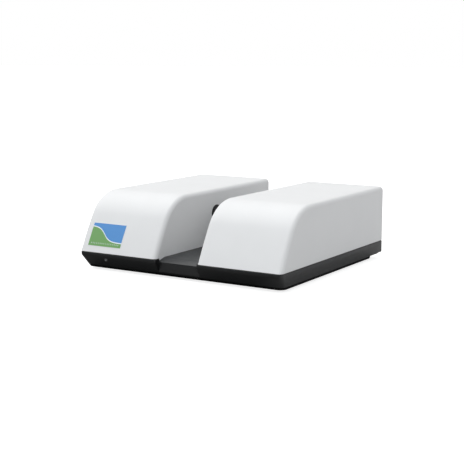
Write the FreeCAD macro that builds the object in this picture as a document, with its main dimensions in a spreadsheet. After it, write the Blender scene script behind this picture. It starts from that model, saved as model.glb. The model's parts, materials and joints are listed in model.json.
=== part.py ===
import FreeCAD, Part
import math
import os

import Sketcher

# Bench UV-Vis spectrophotometer with two pods and an open sample deck between them.
# Millimetres. +Z up, X across the front, -Y towards the user.
# The origin is on the table, under the middle of the base.

os.makedirs("parts", exist_ok=True)
doc = FreeCAD.newDocument("spectrophotometer")
Vector = FreeCAD.Vector

# Driving dimensions: alias, value, what it is
DIMENSIONS = (
    ("body_width", 500, "overall width"),
    ("body_depth", 472, "overall depth"),
    ("foot_height", 6, "rubber feet below the pan"),
    ("pan_height", 4.5, "bottom pan, floor to top edge"),
    ("pan_short", 41, "pan's rear end, forward of the back"),
    ("junction_z", 41, "top of the black base, where the white pods start"),
    ("rim_height", 8.5, "upright part of the base wall"),
    ("front_undercut", 18, "base front, bottom edge behind the rim"),
    ("side_undercut", 6.5, "base sides, bottom edge inside the rim"),
    ("gap_undercut", 10, "base ends beside the gap, bottom edge inside the rim"),
    ("base_corner", 10, "base corner radius at the rim"),
    ("corner_growth", 4, "what the corner radius gains down to the bottom edge"),
    ("rear_block", 38, "upright-walled rear of the base, front to back"),
    ("rear_block_rise", 3.5, "its underside above the pan"),
    ("base_wall", 3, "base wall and floor"),
    ("left_pod_width", 201, "left pod, outside"),
    ("gap_width", 102, "sample gap between the pods"),
    ("face_radius", 936, "bow of the pod fronts"),
    ("face_lean", 26.04, "pod front at its foot, degrees off upright"),
    ("brow_radius", 95, "roll from the front to the roof"),
    ("brow_lean", 31.44, "where the roll starts, degrees off upright"),
    ("edge_round", 9.5, "pod edges along front and roof"),
    ("cover_wall", 3, "pod cover wall"),
    ("rear_round", 2.5, "pod edges round the back"),
    ("tongue_depth", 4, "gap-side cover wall, below the junction"),
    ("rear_inset", 4, "rear panels, inside the back edge of the covers"),
    ("panel_thick", 1.5, "rear panels"),
    ("deck_rise", 0.5, "deck surface above the junction"),
    ("deck_thick", 2.5, "deck plate"),
    ("apron_recess", 13, "base front set back in the gap"),
    ("apron_depth", 17, "sloped front of the deck"),
    ("apron_drop", 5, "deck surface to the front edge of the apron"),
    ("bench_thick", 4, "optical bench plate"),
    ("bench_half_x", 232, "bench plate, half its width"),
    ("bench_half_y", 222, "bench plate, half its depth"),
    ("beam_z", 109, "light beam above the table"),
    ("beam_y", 0, "light beam, front to back"),
    ("port_radius", 20, "beam port bezels, outside"),
    ("port_bore", 10, "beam port bezels, clear opening"),
    ("cell_size", 12.7, "cuvette slot across"),
    ("cell_floor", 15, "cuvette floor below the beam"),
    ("label_width", 86, "front label along X"),
    ("board_thick", 1.6, "circuit boards"),
    ("board_gap", 6, "boards above the bench plate"),
    ("fan_size", 60, "fan frame, square"),
    ("fan_depth", 15, "fan frame, front to back"),
    ("running_fit", 0.05, "radial clearance of a turning shaft"),
    ("slide_fit", 0.3, "clearance beside a sliding piece"),
)

sheet = doc.addObject("Spreadsheet::Sheet", "Dims")
for row, (alias, value, note) in enumerate(DIMENSIONS, 1):
    sheet.set(f"A{row}", note)
    sheet.set(f"B{row}", str(value))
    sheet.setAlias(f"B{row}", alias)
doc.recompute()


class Size:
    """A length held both as a number and as the sheet expression that gives it."""

    def __init__(self, number, text):
        self.number = number
        self.text = text

    def __add__(self, other):
        return Size(self.number + number_of(other), f"({self.text} + {text_of(other)})")

    def __radd__(self, other):
        return Size(number_of(other) + self.number, f"({text_of(other)} + {self.text})")

    def __sub__(self, other):
        return Size(self.number - number_of(other), f"({self.text} - {text_of(other)})")

    def __rsub__(self, other):
        return Size(number_of(other) - self.number, f"({text_of(other)} - {self.text})")

    def __mul__(self, other):
        return Size(self.number * number_of(other), f"({self.text} * {text_of(other)})")

    __rmul__ = __mul__

    def __truediv__(self, other):
        return Size(self.number / number_of(other), f"({self.text} / {text_of(other)})")

    def __neg__(self):
        return Size(-self.number, f"(-1 * {self.text})")


def number_of(size):
    return size.number if isinstance(size, Size) else float(size)


def text_of(size):
    return size.text if isinstance(size, Size) else f"({float(size)!r})"


def sine(angle):
    return Size(math.sin(math.radians(angle.number)), f"sin({angle.text} * 1 deg)")


def cosine(angle):
    return Size(math.cos(math.radians(angle.number)), f"cos({angle.text} * 1 deg)")


def root(size):
    return Size(math.sqrt(size.number), f"sqrt({size.text})")


class Sheet:
    """The sheet's aliases as attributes."""


d = Sheet()
for alias, value, _ in DIMENSIONS:
    setattr(d, alias, Size(float(value), f"Dims.{alias}"))

# Planes and levels that several pieces share
right = d.body_width / 2
left = -right
back = d.body_depth / 2
front = -back
gap_left = left + d.left_pod_width
gap_right = gap_left + d.gap_width
gap_middle = gap_left + d.gap_width / 2
pan_top = d.foot_height + d.pan_height
rim_bottom = d.junction_z - d.rim_height
set_back = front + d.apron_recess
slope_height = rim_bottom - d.foot_height
bench_top = d.junction_z - d.tongue_depth
bench_bottom = bench_top - d.bench_thick
deck_top = d.junction_z + d.deck_rise
deck_bottom = deck_top - d.deck_thick
board_bottom = bench_top + d.board_gap
board_top = board_bottom + d.board_thick
panel_back = back - d.rear_inset
panel_front = panel_back - d.panel_thick
face_rise = d.face_radius * (sine(d.brow_lean) - sine(d.face_lean))
roof_z = d.junction_z + face_rise + d.brow_radius * (1 - sine(d.brow_lean))
face_run = d.face_radius * (cosine(d.face_lean) - cosine(d.brow_lean))
brow_end = front + face_run + d.brow_radius * cosine(d.brow_lean)
cell_bottom = d.beam_z - d.cell_floor
# Centre of the arc that bows the pod fronts
face_centre_y = front + d.face_radius * cosine(d.face_lean)
face_centre_z = d.junction_z - d.face_radius * sine(d.face_lean)

nodes = []


def node(thing, label):
    """Names a finished sub-part and puts it on the list that is written out."""
    thing.Label = label
    nodes.append(thing)
    return thing


def bind(thing, path, size):
    thing.setExpression(path, text_of(size))


# Part primitives and booleans


def block(name, x, y, z):
    """A box between two planes on each axis."""
    box = doc.addObject("Part::Box", name)
    for side, letter, (low, high) in (("Length", "x", x), ("Width", "y", y), ("Height", "z", z)):
        bind(box, side, high - low)
        bind(box, f"Placement.Base.{letter}", low)
    return box


AXIS_TURN = {
    "x": FreeCAD.Rotation(Vector(0, 1, 0), 90),
    "y": FreeCAD.Rotation(Vector(1, 0, 0), -90),
    "z": FreeCAD.Rotation(),
}


def stand(solid, centre, axis):
    """Puts a round solid's first end at a point, with its own Z along a row axis."""
    solid.Placement = FreeCAD.Placement(Vector(), AXIS_TURN[axis])
    for letter, place in zip("xyz", centre):
        bind(solid, f"Placement.Base.{letter}", place)
    return solid


def rod(name, radius, centre, length, axis="z"):
    """A cylinder from the centre of its first end along an axis."""
    cylinder = doc.addObject("Part::Cylinder", name)
    bind(cylinder, "Radius", radius)
    bind(cylinder, "Height", length)
    return stand(cylinder, centre, axis)


def prism(name, sides, radius, centre, length, axis="z"):
    """A straight bar with a regular outline, such as a hexagon stud or a screw head."""
    bar = doc.addObject("Part::Prism", name)
    bar.Polygon = sides
    bind(bar, "Circumradius", radius)
    bind(bar, "Height", length)
    return stand(bar, centre, axis)


def fuse(name, *pieces):
    joined = doc.addObject("Part::MultiFuse", name)
    joined.Shapes = list(pieces)
    joined.Refine = True
    return joined


def cut(name, base, *tools):
    result = doc.addObject("Part::Cut", name)
    result.Base = base
    result.Tool = tools[0] if len(tools) == 1 else fuse(name + "_tools", *tools)
    result.Refine = True
    return result


def group(name, pieces):
    """Identical pieces that stay separate solids in one sub-part."""
    compound = doc.addObject("Part::Compound", name)
    compound.Links = list(pieces)
    return compound


# Sketches and features of a body


def new_body(label):
    return node(doc.addObject("PartDesign::Body", label), label)


def new_sketch(body, plane, offset=0.0):
    """A sketch on one of the body's own origin planes, moved along its normal."""
    flat = body.newObject("Sketcher::SketchObject", f"{body.Name}_sketch")
    origin = next(each for each in body.Origin.OriginFeatures if each.Role == plane)
    flat.AttachmentSupport = [(origin, "")]
    flat.MapMode = "FlatFace"
    bind(flat, "AttachmentOffset.Base.z", offset)
    return flat


def fix(flat, kind, element, point, size):
    """Holds one coordinate of a sketch point at a bound distance from the sketch's origin."""
    index = flat.addConstraint(Sketcher.Constraint(kind, -1, 1, element, point, number_of(size)))
    bind(flat, f"Constraints[{index}]", size)


def fix_point(flat, element, point, across, up):
    fix(flat, "DistanceX", element, point, across)
    fix(flat, "DistanceY", element, point, up)


def join_ends(flat, first, count):
    """Joins each element's end to the next one's start, round a closed outline."""
    for step in range(count):
        following = first + (step + 1) % count
        flat.addConstraint(Sketcher.Constraint("Coincident", first + step, 2, following, 1))


def polygon(flat, points):
    """A closed outline of straight lines through bound points."""
    first = flat.GeometryCount
    places = [Vector(number_of(across), number_of(up), 0) for across, up in points]
    for step, place in enumerate(places):
        flat.addGeometry(Part.LineSegment(place, places[(step + 1) % len(places)]))
    join_ends(flat, first, len(points))
    for step, (across, up) in enumerate(points):
        fix_point(flat, first + step, 1, across, up)


def rectangle(flat, across, up):
    """A rectangle between two planes each way."""
    first = flat.GeometryCount
    corners = [(across[0], up[0]), (across[1], up[0]), (across[1], up[1]), (across[0], up[1])]
    places = [Vector(number_of(a), number_of(b), 0) for a, b in corners]
    for step in range(4):
        flat.addGeometry(Part.LineSegment(places[step], places[(step + 1) % 4]))
    join_ends(flat, first, 4)
    for step in (0, 2):
        flat.addConstraint(Sketcher.Constraint("Horizontal", first + step))
        flat.addConstraint(Sketcher.Constraint("Vertical", first + step + 1))
    fix_point(flat, first, 1, across[0], up[0])
    fix_point(flat, first + 2, 1, across[1], up[1])


def rounded_rectangle(flat, across, up, radius):
    """A rectangle between two planes each way, with one corner radius."""
    first = flat.GeometryCount
    low_x, high_x = number_of(across[0]), number_of(across[1])
    low_y, high_y = number_of(up[0]), number_of(up[1])
    bend = number_of(radius)
    # Corner centres, anticlockwise from the lower right, each with its start angle
    corners = (
        (high_x - bend, low_y + bend, -90),
        (high_x - bend, high_y - bend, 0),
        (low_x + bend, high_y - bend, 90),
        (low_x + bend, low_y + bend, 180),
    )
    arcs = []
    for x, y, angle in corners:
        start = math.radians(angle)
        whole = Part.Circle(Vector(x, y, 0), Vector(0, 0, 1), bend)
        arcs.append(Part.ArcOfCircle(whole, start, start + math.pi / 2))
    for step in range(4):
        flat.addGeometry(arcs[step])
        flat.addGeometry(Part.LineSegment(arcs[step].EndPoint, arcs[(step + 1) % 4].StartPoint))
    for step in range(8):
        flat.addConstraint(Sketcher.Constraint("Tangent", first + step, 2, first + (step + 1) % 8, 1))
    for step, kind in ((1, "Vertical"), (3, "Horizontal"), (5, "Vertical"), (7, "Horizontal")):
        flat.addConstraint(Sketcher.Constraint(kind, first + step))
    fix(flat, "DistanceX", first + 1, 1, across[1])
    fix(flat, "DistanceY", first + 3, 1, up[1])
    fix(flat, "DistanceX", first + 5, 1, across[0])
    fix(flat, "DistanceY", first + 7, 1, up[0])
    for step in range(0, 8, 2):
        index = flat.addConstraint(Sketcher.Constraint("Radius", first + step, bend))
        bind(flat, f"Constraints[{index}]", radius)


def circle(flat, across, up, radius):
    place = Vector(number_of(across), number_of(up), 0)
    element = flat.addGeometry(Part.Circle(place, Vector(0, 0, 1), number_of(radius)))
    index = flat.addConstraint(Sketcher.Constraint("Radius", element, number_of(radius)))
    bind(flat, f"Constraints[{index}]", radius)
    fix_point(flat, element, 3, across, up)


def regular(flat, across, up, radius, sides=6):
    """A regular outline round a centre."""
    points = []
    for step in range(sides):
        angle = 2 * math.pi * step / sides
        points.append((across + radius * math.cos(angle), up + radius * math.sin(angle)))
    polygon(flat, points)


def pad(body, flat, length, back_to_front=False):
    """Adds a prism on a sketch, along the sketch's normal unless told otherwise."""
    solid = body.newObject("PartDesign::Pad", f"{body.Name}_pad")
    solid.Profile = flat
    solid.Reversed = back_to_front
    bind(solid, "Length", length)
    doc.recompute()
    return solid


def pocket(body, flat, length, along_normal=False):
    """Cuts a prism away, against the sketch's normal unless told otherwise."""
    volume = body.Shape.Volume
    hollow = body.newObject("PartDesign::Pocket", f"{body.Name}_pocket")
    hollow.Profile = flat
    hollow.Reversed = along_normal
    bind(hollow, "Length", length)
    doc.recompute()
    if body.Shape.Volume >= volume - 0.01:
        raise RuntimeError(f"{body.Label}: {hollow.Name} removes nothing")
    return hollow


def loft(body, kind, lower, upper):
    solid = body.newObject(f"PartDesign::{kind}Loft", f"{body.Name}_loft")
    solid.Profile = lower
    solid.Sections = [upper]
    solid.Ruled = True
    doc.recompute()
    return solid


def edges_where(feature, test):
    """Names of a feature's edges whose end points pass a test."""
    names = []
    for number, edge in enumerate(feature.Shape.Edges, 1):
        if len(edge.Vertexes) == 2 and test(edge.Vertexes[0].Point, edge.Vertexes[1].Point):
            names.append(f"Edge{number}")
    return names


def fillet(body, feature, names, radius):
    rounded = body.newObject("PartDesign::Fillet", f"{body.Name}_fillet")
    rounded.Base = (feature, names)
    bind(rounded, "Radius", radius)
    doc.recompute()
    return rounded


def bevel(body, feature, names, size):
    slanted = body.newObject("PartDesign::Chamfer", f"{body.Name}_bevel")
    slanted.Base = (feature, names)
    bind(slanted, "Size", size)
    doc.recompute()
    return slanted


def near(value, size, reach=0.2):
    return abs(value - number_of(size)) < reach


# Base


def wall_inset(undercut, level):
    """How far a sloped base wall stands inside the rim at a level."""
    if number_of(level) >= number_of(rim_bottom):
        return 0.0
    return undercut * (rim_bottom - level) / slope_height


def base_outline(body, level, wall=0.0, rear=0.0):
    """A sketch of the base's outline at a level, or of the inside of its wall."""
    flat = new_sketch(body, "XY_Plane", level)
    side = wall_inset(d.side_undercut, level) + wall
    ahead = wall_inset(d.front_undercut, level) + wall
    corner = d.base_corner + wall_inset(d.corner_growth, level) - wall
    rounded_rectangle(flat, (left + side, right - side), (front + ahead, back - rear - wall), corner)
    return flat


def gap_form(body, kind, near_y, wall):
    """Adds or cuts what lies between near_y and the set-back front wall in the gap."""
    outlines = []
    for level in (pan_top, rim_bottom):
        flat = new_sketch(body, "XY_Plane", level)
        spread = wall_inset(d.gap_undercut, level) + wall
        behind = wall_inset(d.front_undercut, level)
        depth = (near_y + behind, set_back + behind + wall)
        rectangle(flat, (gap_left - spread, gap_right + spread), depth)
        outlines.append(flat)
    loft(body, kind, *outlines)
    upper = new_sketch(body, "XY_Plane", rim_bottom)
    rectangle(upper, (gap_left - wall, gap_right + wall), (near_y, set_back + wall))
    if kind == "Additive":
        pad(body, upper, d.rim_height)
    else:
        pocket(body, upper, d.rim_height, along_normal=True)


BOSS_X = (-215, 2, 215)
BOSS_Y = (-195, 195)
BOSS_HALF = 6
SCREW_RADIUS = 2
INDICATOR_X = -181
INDICATOR_Z = 27
INDICATOR_RADIUS = 4


def base_tray():
    """Moulded tray: upright rim, walls that slope in below it, bosses for the bench plate.

    The bosses' blind holes take the self-tapping screws of the bench plate.
    """
    body = new_body("base_tray")
    loft(body, "Additive", base_outline(body, pan_top), base_outline(body, rim_bottom))
    pad(body, base_outline(body, rim_bottom), d.rim_height)
    # The rear end has upright walls
    block_z = pan_top + d.rear_block_rise
    rear_end = new_sketch(body, "XY_Plane", block_z)
    rectangle(rear_end, (left, right), (back - d.rear_block, back))
    form = pad(body, rear_end, d.junction_z - block_z)
    corners = edges_where(form, lambda a, b: near(a.y, back) and near(b.y, back) and near(a.x, b.x))
    bevel(body, form, corners, d.rear_round)
    # Hollow
    floor_z = pan_top + d.base_wall
    wall = d.base_wall
    loft(body, "Subtractive", base_outline(body, floor_z, wall), base_outline(body, d.junction_z, wall))
    rear_room = new_sketch(body, "XY_Plane", block_z + wall)
    rectangle(rear_room, (left + wall, right - wall), (back - d.rear_block + wall, back - wall))
    pocket(body, rear_room, d.junction_z - block_z - wall, along_normal=True)
    # Front wall in the gap: set back, and lower so that the deck's apron covers it
    gap_form(body, "Additive", front + 1, d.base_wall)
    gap_form(body, "Subtractive", front - 1, 0)
    lowered = new_sketch(body, "YZ_Plane", gap_left)
    lip_z = deck_top - d.apron_drop - d.deck_thick
    rectangle(lowered, (set_back - 1, set_back + d.base_wall + 1), (lip_z, d.junction_z + 1))
    pocket(body, lowered, d.gap_width, along_normal=True)
    # Bosses under the bench plate
    bosses = new_sketch(body, "XY_Plane", floor_z - 0.5)
    for x in BOSS_X:
        for y in BOSS_Y:
            rectangle(bosses, (x - BOSS_HALF, x + BOSS_HALF), (y - BOSS_HALF, y + BOSS_HALF))
    pad(body, bosses, bench_bottom - floor_z + 0.5)
    holes = new_sketch(body, "XY_Plane", bench_bottom)
    for x in BOSS_X:
        for y in BOSS_Y:
            regular(holes, x, y, SCREW_RADIUS)
    pocket(body, holes, 14)
    lamp_hole = new_sketch(body, "XZ_Plane", -front)
    regular(lamp_hole, INDICATOR_X, INDICATOR_Z, INDICATOR_RADIUS + 0.4, SMALL_ROUND_SIDES)
    pocket(body, lamp_hole, 20)


def bottom_pan():
    """Shallow pan that closes the base from below and stops short of the back."""
    body = new_body("bottom_pan")
    rear = d.pan_short
    lower = base_outline(body, d.foot_height, 0, rear)
    loft(body, "Additive", lower, base_outline(body, pan_top, 0, rear))
    dish = new_sketch(body, "XY_Plane", pan_top)
    inner = (left + d.side_undercut + 4, right - d.side_undercut - 4)
    rectangle(dish, inner, (front + d.front_undercut + 4, back - rear - 4))
    pocket(body, dish, d.pan_height - 1.5)


FOOT_X = 190
FOOT_Y = (-175, 165)
FOOT_SIDES = 12


def rubber_feet():
    feet = []
    for side in (-1, 1):
        for y in FOOT_Y:
            feet.append(prism("foot", FOOT_SIDES, 10, (side * FOOT_X, y, 0), d.foot_height))
    node(group("feet", feet), "rubber_feet")


def base_screws():
    screws = []
    for x in BOSS_X:
        for y in BOSS_Y:
            head = prism("head", 6, 4, (x, y, bench_top), 1.7)
            shank = prism("shank", 6, SCREW_RADIUS - 0.1, (x, y, bench_bottom - 12), d.bench_thick + 12.5)
            screws.append(fuse("base_screw", head, shank))
    node(group("screws", screws), "base_screws")


def board_posts(x, y, inset=6):
    """Centres of a board's four posts, inset from its corners."""
    return [(a, b) for a in (x[0] + inset, x[1] - inset) for b in (y[0] + inset, y[1] - inset)]


DRIVER_X = (-238 + 8, -70)
DRIVER_Y = (-205, -60)
POWER_X = (-230, -66)
POWER_Y = (72, 205)
MAIN_X = (72, 230)
MAIN_Y = (-205, 222)
BOARD_POSTS = board_posts(DRIVER_X, DRIVER_Y) + board_posts(POWER_X, POWER_Y)
BOARD_POSTS += board_posts(MAIN_X, (MAIN_Y[0], MAIN_Y[1] - 8))
PEDESTALS = [(x, y) for x in (110, 222) for y in (-48, 86)]
PEDESTAL_RADIUS = 5


def optical_bench():
    """One plate that carries source, deck and detector in line, with studs for the boards."""
    body = new_body("optical_bench")
    plate = new_sketch(body, "XY_Plane", bench_bottom)
    rectangle(plate, (-d.bench_half_x, d.bench_half_x), (-d.bench_half_y, d.bench_half_y))
    form = pad(body, plate, d.bench_thick)
    upright = edges_where(form, lambda a, b: abs(a.z - b.z) > 1)
    bevel(body, form, upright, 10)
    studs = new_sketch(body, "XY_Plane", bench_top)
    for x, y in BOARD_POSTS:
        rectangle(studs, (x - 2.5, x + 2.5), (y - 2.5, y + 2.5))
    pad(body, studs, d.board_gap)
    openings = new_sketch(body, "XY_Plane", bench_top)
    for x in BOSS_X:
        for y in BOSS_Y:
            regular(openings, x, y, SCREW_RADIUS + 0.3)
    for x in ((-180, -110), (120, 190)):
        rectangle(openings, x, (-160, -100))
        rectangle(openings, x, (110, 170))
    # Clear of the set-back front wall and the apron
    gap_side = (gap_left - 8, gap_right + 8)
    rectangle(openings, gap_side, (-d.bench_half_y - 1, set_back + d.apron_depth + 1))
    pocket(body, openings, d.bench_thick)


# Pod covers


def pod_outline(flat, inset, foot_z, rear_y):
    """Side view of a pod: bowed leaning front, roll, level roof, upright back.

    inset moves the front, roll and roof inwards, for the cavity.
    """
    bow = d.face_radius - inset
    roll = d.brow_radius - inset
    roof = roof_z - inset
    rise = foot_z - face_centre_z
    start_y = face_centre_y - root(bow * bow - rise * rise)
    up = Vector(0, 0, 1)
    foot_front = Vector(number_of(start_y), number_of(foot_z), 0)
    foot_back = Vector(number_of(rear_y), number_of(foot_z), 0)
    roof_back = Vector(number_of(rear_y), number_of(roof), 0)
    roof_front = Vector(number_of(brow_end), number_of(roof), 0)
    face_middle = Vector(number_of(face_centre_y), number_of(face_centre_z), 0)
    roll_middle = Vector(number_of(brow_end), number_of(roof - roll), 0)
    lean = math.asin(number_of(rise) / number_of(bow))
    brow = math.radians(number_of(d.brow_lean))
    whole_face = Part.Circle(face_middle, up, number_of(bow))
    whole_roll = Part.Circle(roll_middle, up, number_of(roll))
    face = flat.addGeometry(Part.ArcOfCircle(whole_face, math.pi - brow, math.pi - lean))
    foot = flat.addGeometry(Part.LineSegment(foot_front, foot_back))
    rear = flat.addGeometry(Part.LineSegment(foot_back, roof_back))
    level = flat.addGeometry(Part.LineSegment(roof_back, roof_front))
    turn = flat.addGeometry(Part.ArcOfCircle(whole_roll, math.pi / 2, math.pi - brow))
    for first, second in ((face, foot), (foot, rear), (rear, level)):
        flat.addConstraint(Sketcher.Constraint("Coincident", first, 2, second, 1))
    flat.addConstraint(Sketcher.Constraint("Tangent", level, 2, turn, 1))
    flat.addConstraint(Sketcher.Constraint("Tangent", turn, 2, face, 1))
    flat.addConstraint(Sketcher.Constraint("Horizontal", foot))
    flat.addConstraint(Sketcher.Constraint("Vertical", rear))
    flat.addConstraint(Sketcher.Constraint("Horizontal", level))
    fix_point(flat, foot, 1, start_y, foot_z)
    fix_point(flat, level, 1, rear_y, roof)
    fix(flat, "DistanceX", level, 2, brow_end)
    for arc, radius in ((face, bow), (turn, roll)):
        index = flat.addConstraint(Sketcher.Constraint("Radius", arc, number_of(radius)))
        bind(flat, f"Constraints[{index}]", radius)


def long_edges(form, sides, foot_z):
    """The edges along front and roof on both sides of a pod form."""

    def runs_along(a, b):
        beside = any(near(a.x, side) and near(b.x, side) for side in sides)
        upright_back = near(a.y, b.y, 0.5)
        return beside and not upright_back and max(a.z, b.z) > number_of(foot_z) + 1

    return edges_where(form, runs_along)


RIB_Y = (-70, 10, 90, 170)
RIB_THICK = 2
RIB_DROP = 6
SCREW_BOSS = 5
PANEL_SCREW = 1.5


def panel_screw_places(inner, outer):
    """Screw centres in the four corners of a rear panel, as X and Z."""
    low = d.junction_z + 9
    high = roof_z - d.cover_wall - 9
    return [(x, z) for x in (inner + 9, outer - 9) for z in (low, high)]


def pod_cover(label, outer_left, outer_right, gap_wall):
    """Thin moulded cover, open below and behind, with a port hole in the wall by the gap.

    gap_wall is the X range of that wall.
    """
    inner = outer_left + d.cover_wall
    outer = outer_right - d.cover_wall
    hollow = doc.addObject("PartDesign::Body", f"{label}_cavity")
    below = d.junction_z - 1
    inner_view = new_sketch(hollow, "YZ_Plane", inner)
    pod_outline(inner_view, d.cover_wall, below, back + 1)
    core = pad(hollow, inner_view, outer - inner)
    bevel(hollow, core, long_edges(core, (inner, outer), below), d.edge_round / 2)
    body = new_body(label)
    side_view = new_sketch(body, "YZ_Plane", outer_left)
    pod_outline(side_view, 0, d.junction_z, back)
    form = pad(body, side_view, outer_right - outer_left)
    rounded = fillet(body, form, long_edges(form, (outer_left, outer_right), d.junction_z), d.edge_round)
    rear_edges = edges_where(rounded, lambda a, b: near(a.y, back) and near(b.y, back) and a.z + b.z > 90)
    bevel(body, rounded, rear_edges, d.rear_round)
    emptied = body.newObject("PartDesign::Boolean", f"{label}_emptied")
    emptied.Type = "Cut"
    emptied.setObjects([hollow])
    doc.recompute()
    # The gap-side wall goes on down to the bench plate
    tongue = new_sketch(body, "XY_Plane", bench_top)
    rectangle(tongue, gap_wall, (set_back + d.base_wall, d.bench_half_y))
    pad(body, tongue, d.tongue_depth + 0.5)
    port = new_sketch(body, "YZ_Plane", gap_wall[0] - 1)
    regular(port, d.beam_y, d.beam_z, d.port_radius - 4, SMALL_ROUND_SIDES)
    pocket(body, port, d.cover_wall + 2, along_normal=True)
    # Ribs under the roof
    roof_in = roof_z - d.cover_wall
    ribs = new_sketch(body, "YZ_Plane", inner + d.edge_round)
    for y in RIB_Y:
        rectangle(ribs, (y, y + RIB_THICK), (roof_in - RIB_DROP, roof_in + 0.5))
    pad(body, ribs, outer - inner - d.edge_round * 2)
    # Screw bosses behind the rear panel's corners
    bosses = new_sketch(body, "XZ_Plane", -panel_front)
    for x, z in panel_screw_places(inner, outer):
        outwards = number_of(x) < number_of(inner + outer) / 2
        side = (inner - 0.5, x + SCREW_BOSS) if outwards else (x - SCREW_BOSS, outer + 0.5)
        rectangle(bosses, side, (z - SCREW_BOSS, z + SCREW_BOSS))
    pad(body, bosses, 16)
    holes = new_sketch(body, "XZ_Plane", -panel_front)
    for x, z in panel_screw_places(inner, outer):
        regular(holes, x, z, PANEL_SCREW)
    pocket(body, holes, 14, along_normal=True)


# Sample deck and cuvette holder

DECK_RIBS = (-35, -12, 16, 39)
KNOB_REACH = 29
KNOB_STUD = 2.5
HOLDER_BASE = 7
HOLDER_Z = 88
HOLDER_TOP = 126
HOLDER_HALF = 13
PLUNGER_Z = 101
PLUNGER_RADIUS = 2
PLUNGER_TRAVEL = 0.8


def sample_deck():
    """Moulded deck: flat top, sloped apron in front, ribs that stand on the bench plate."""
    body = new_body("sample_deck")
    side_view = new_sketch(body, "YZ_Plane", gap_left + d.slide_fit)
    lip = set_back
    rear = back - d.base_wall - d.slide_fit
    apron_z = deck_top - d.apron_drop
    slope_end = lip + d.apron_depth
    polygon(
        side_view,
        (
            (lip, apron_z - d.deck_thick),
            (lip + d.base_wall, apron_z - d.deck_thick),
            (slope_end + 1, deck_bottom - 1.2),
            (slope_end + 5, deck_bottom),
            (rear, deck_bottom),
            (rear, deck_top),
            (slope_end + 4, deck_top),
            (slope_end, deck_top - 1.2),
            (lip + 0.6, apron_z + 0.1),
            (lip, apron_z - 0.6),
        ),
    )
    pad(body, side_view, d.gap_width - 2 * d.slide_fit)
    ribs = new_sketch(body, "XY_Plane", bench_top)
    for x in DECK_RIBS:
        rectangle(ribs, (x - 1, x + 1), (front + 32, back - 22))
    pad(body, ribs, deck_bottom - bench_top + 0.5)
    knob_slots(body, deck_top, d.deck_thick)


def knob_slots(body, top, depth):
    """Keyhole slots that a quarter-turn fastener's crossbar drops through."""
    holes = new_sketch(body, "XY_Plane", top)
    for side in (-1, 1):
        circle(holes, gap_middle + side * KNOB_REACH, d.beam_y, KNOB_STUD + 0.1)
    pocket(body, holes, depth + 0.1)
    slots = new_sketch(body, "XY_Plane", top)
    for side in (-1, 1):
        x = gap_middle + side * KNOB_REACH
        rectangle(slots, (x - 1.7, x + 1.7), (-5.6, 5.6))
    pocket(body, slots, depth + 0.1)


def holder_base():
    body = new_body("holder_base")
    foot = new_sketch(body, "XY_Plane", deck_top)
    rectangle(foot, (gap_middle - 40, gap_middle + 40), (-24, 24))
    form = pad(body, foot, HOLDER_BASE)
    upright = edges_where(form, lambda a, b: abs(a.z - b.z) > 1)
    bevel(body, form, upright, 5)
    knob_slots(body, deck_top + HOLDER_BASE, HOLDER_BASE)


def holder_column():
    body = new_body("holder_column")
    post = new_sketch(body, "XY_Plane", deck_top + HOLDER_BASE)
    rectangle(post, (gap_middle - 10, gap_middle + 10), (-12, 12))
    form = pad(body, post, HOLDER_Z - deck_top - HOLDER_BASE)
    bevel(body, form, edges_where(form, lambda a, b: abs(a.z - b.z) > 1), 3)


def cell_holder():
    """Block with a square cuvette slot, beam bores, a grip notch and a plunger bore."""
    body = new_body("cell_holder")
    outline = new_sketch(body, "XY_Plane", HOLDER_Z)
    half = HOLDER_HALF
    rectangle(outline, (gap_middle - half, gap_middle + half), (-half, half))
    form = pad(body, outline, HOLDER_TOP - HOLDER_Z)
    bevel(body, form, edges_where(form, lambda a, b: abs(a.z - b.z) > 1), 1.5)
    slot = new_sketch(body, "XY_Plane", HOLDER_TOP)
    reach = d.cell_size / 2
    rectangle(slot, (gap_middle - reach, gap_middle + reach), (-reach, reach))
    pocket(body, slot, HOLDER_TOP - cell_bottom)
    bores = new_sketch(body, "YZ_Plane", gap_middle - half - 1)
    regular(bores, d.beam_y, d.beam_z, 4, 8)
    pocket(body, bores, 2 * half + 2, along_normal=True)
    notch = new_sketch(body, "XZ_Plane", half + 1)
    rectangle(notch, (gap_middle - 4, gap_middle + 4), (HOLDER_TOP - 12, HOLDER_TOP + 1))
    pocket(body, notch, half)
    seat = new_sketch(body, "XZ_Plane", -half - 1)
    circle(seat, gap_middle, PLUNGER_Z, PLUNGER_RADIUS + d.running_fit)
    pocket(body, seat, half, along_normal=True)


def cell_plunger():
    """Blunt-nosed pin that pushes the cuvette against the front of its slot."""
    tip_y = d.cell_size / 2 - PLUNGER_TRAVEL
    nose = prism("nose", 8, PLUNGER_RADIUS / 2, (gap_middle, tip_y, PLUNGER_Z), 1.5, "y")
    shank = rod("shank", PLUNGER_RADIUS, (gap_middle, tip_y + 1, PLUNGER_Z), 4, "y")
    node(fuse("plunger", nose, shank), "cell_plunger")


def holder_knob(label, side):
    """Quarter-turn knob: ten-sided grip, stud, and a crossbar under the deck."""
    body = new_body(label)
    body.Placement.Base = Vector(number_of(gap_middle) + side * KNOB_REACH, 0, 0)
    bottom = deck_top + HOLDER_BASE + 0.2
    grip = new_sketch(body, "XY_Plane", bottom)
    regular(grip, 0, 0, 8, 10)
    pad(body, grip, 11)
    stud = new_sketch(body, "XY_Plane", bench_top + 0.4)
    circle(stud, 0, 0, KNOB_STUD)
    pad(body, stud, bottom - bench_top)
    bar = new_sketch(body, "XY_Plane", bench_top + 0.4)
    rectangle(bar, (-5, 5), (-1.4, 1.4))
    pad(body, bar, 1.3)


# Beam ports


ROUND_SIDES = 24
SMALL_ROUND_SIDES = 12
BEZEL_THICK = 2


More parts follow.
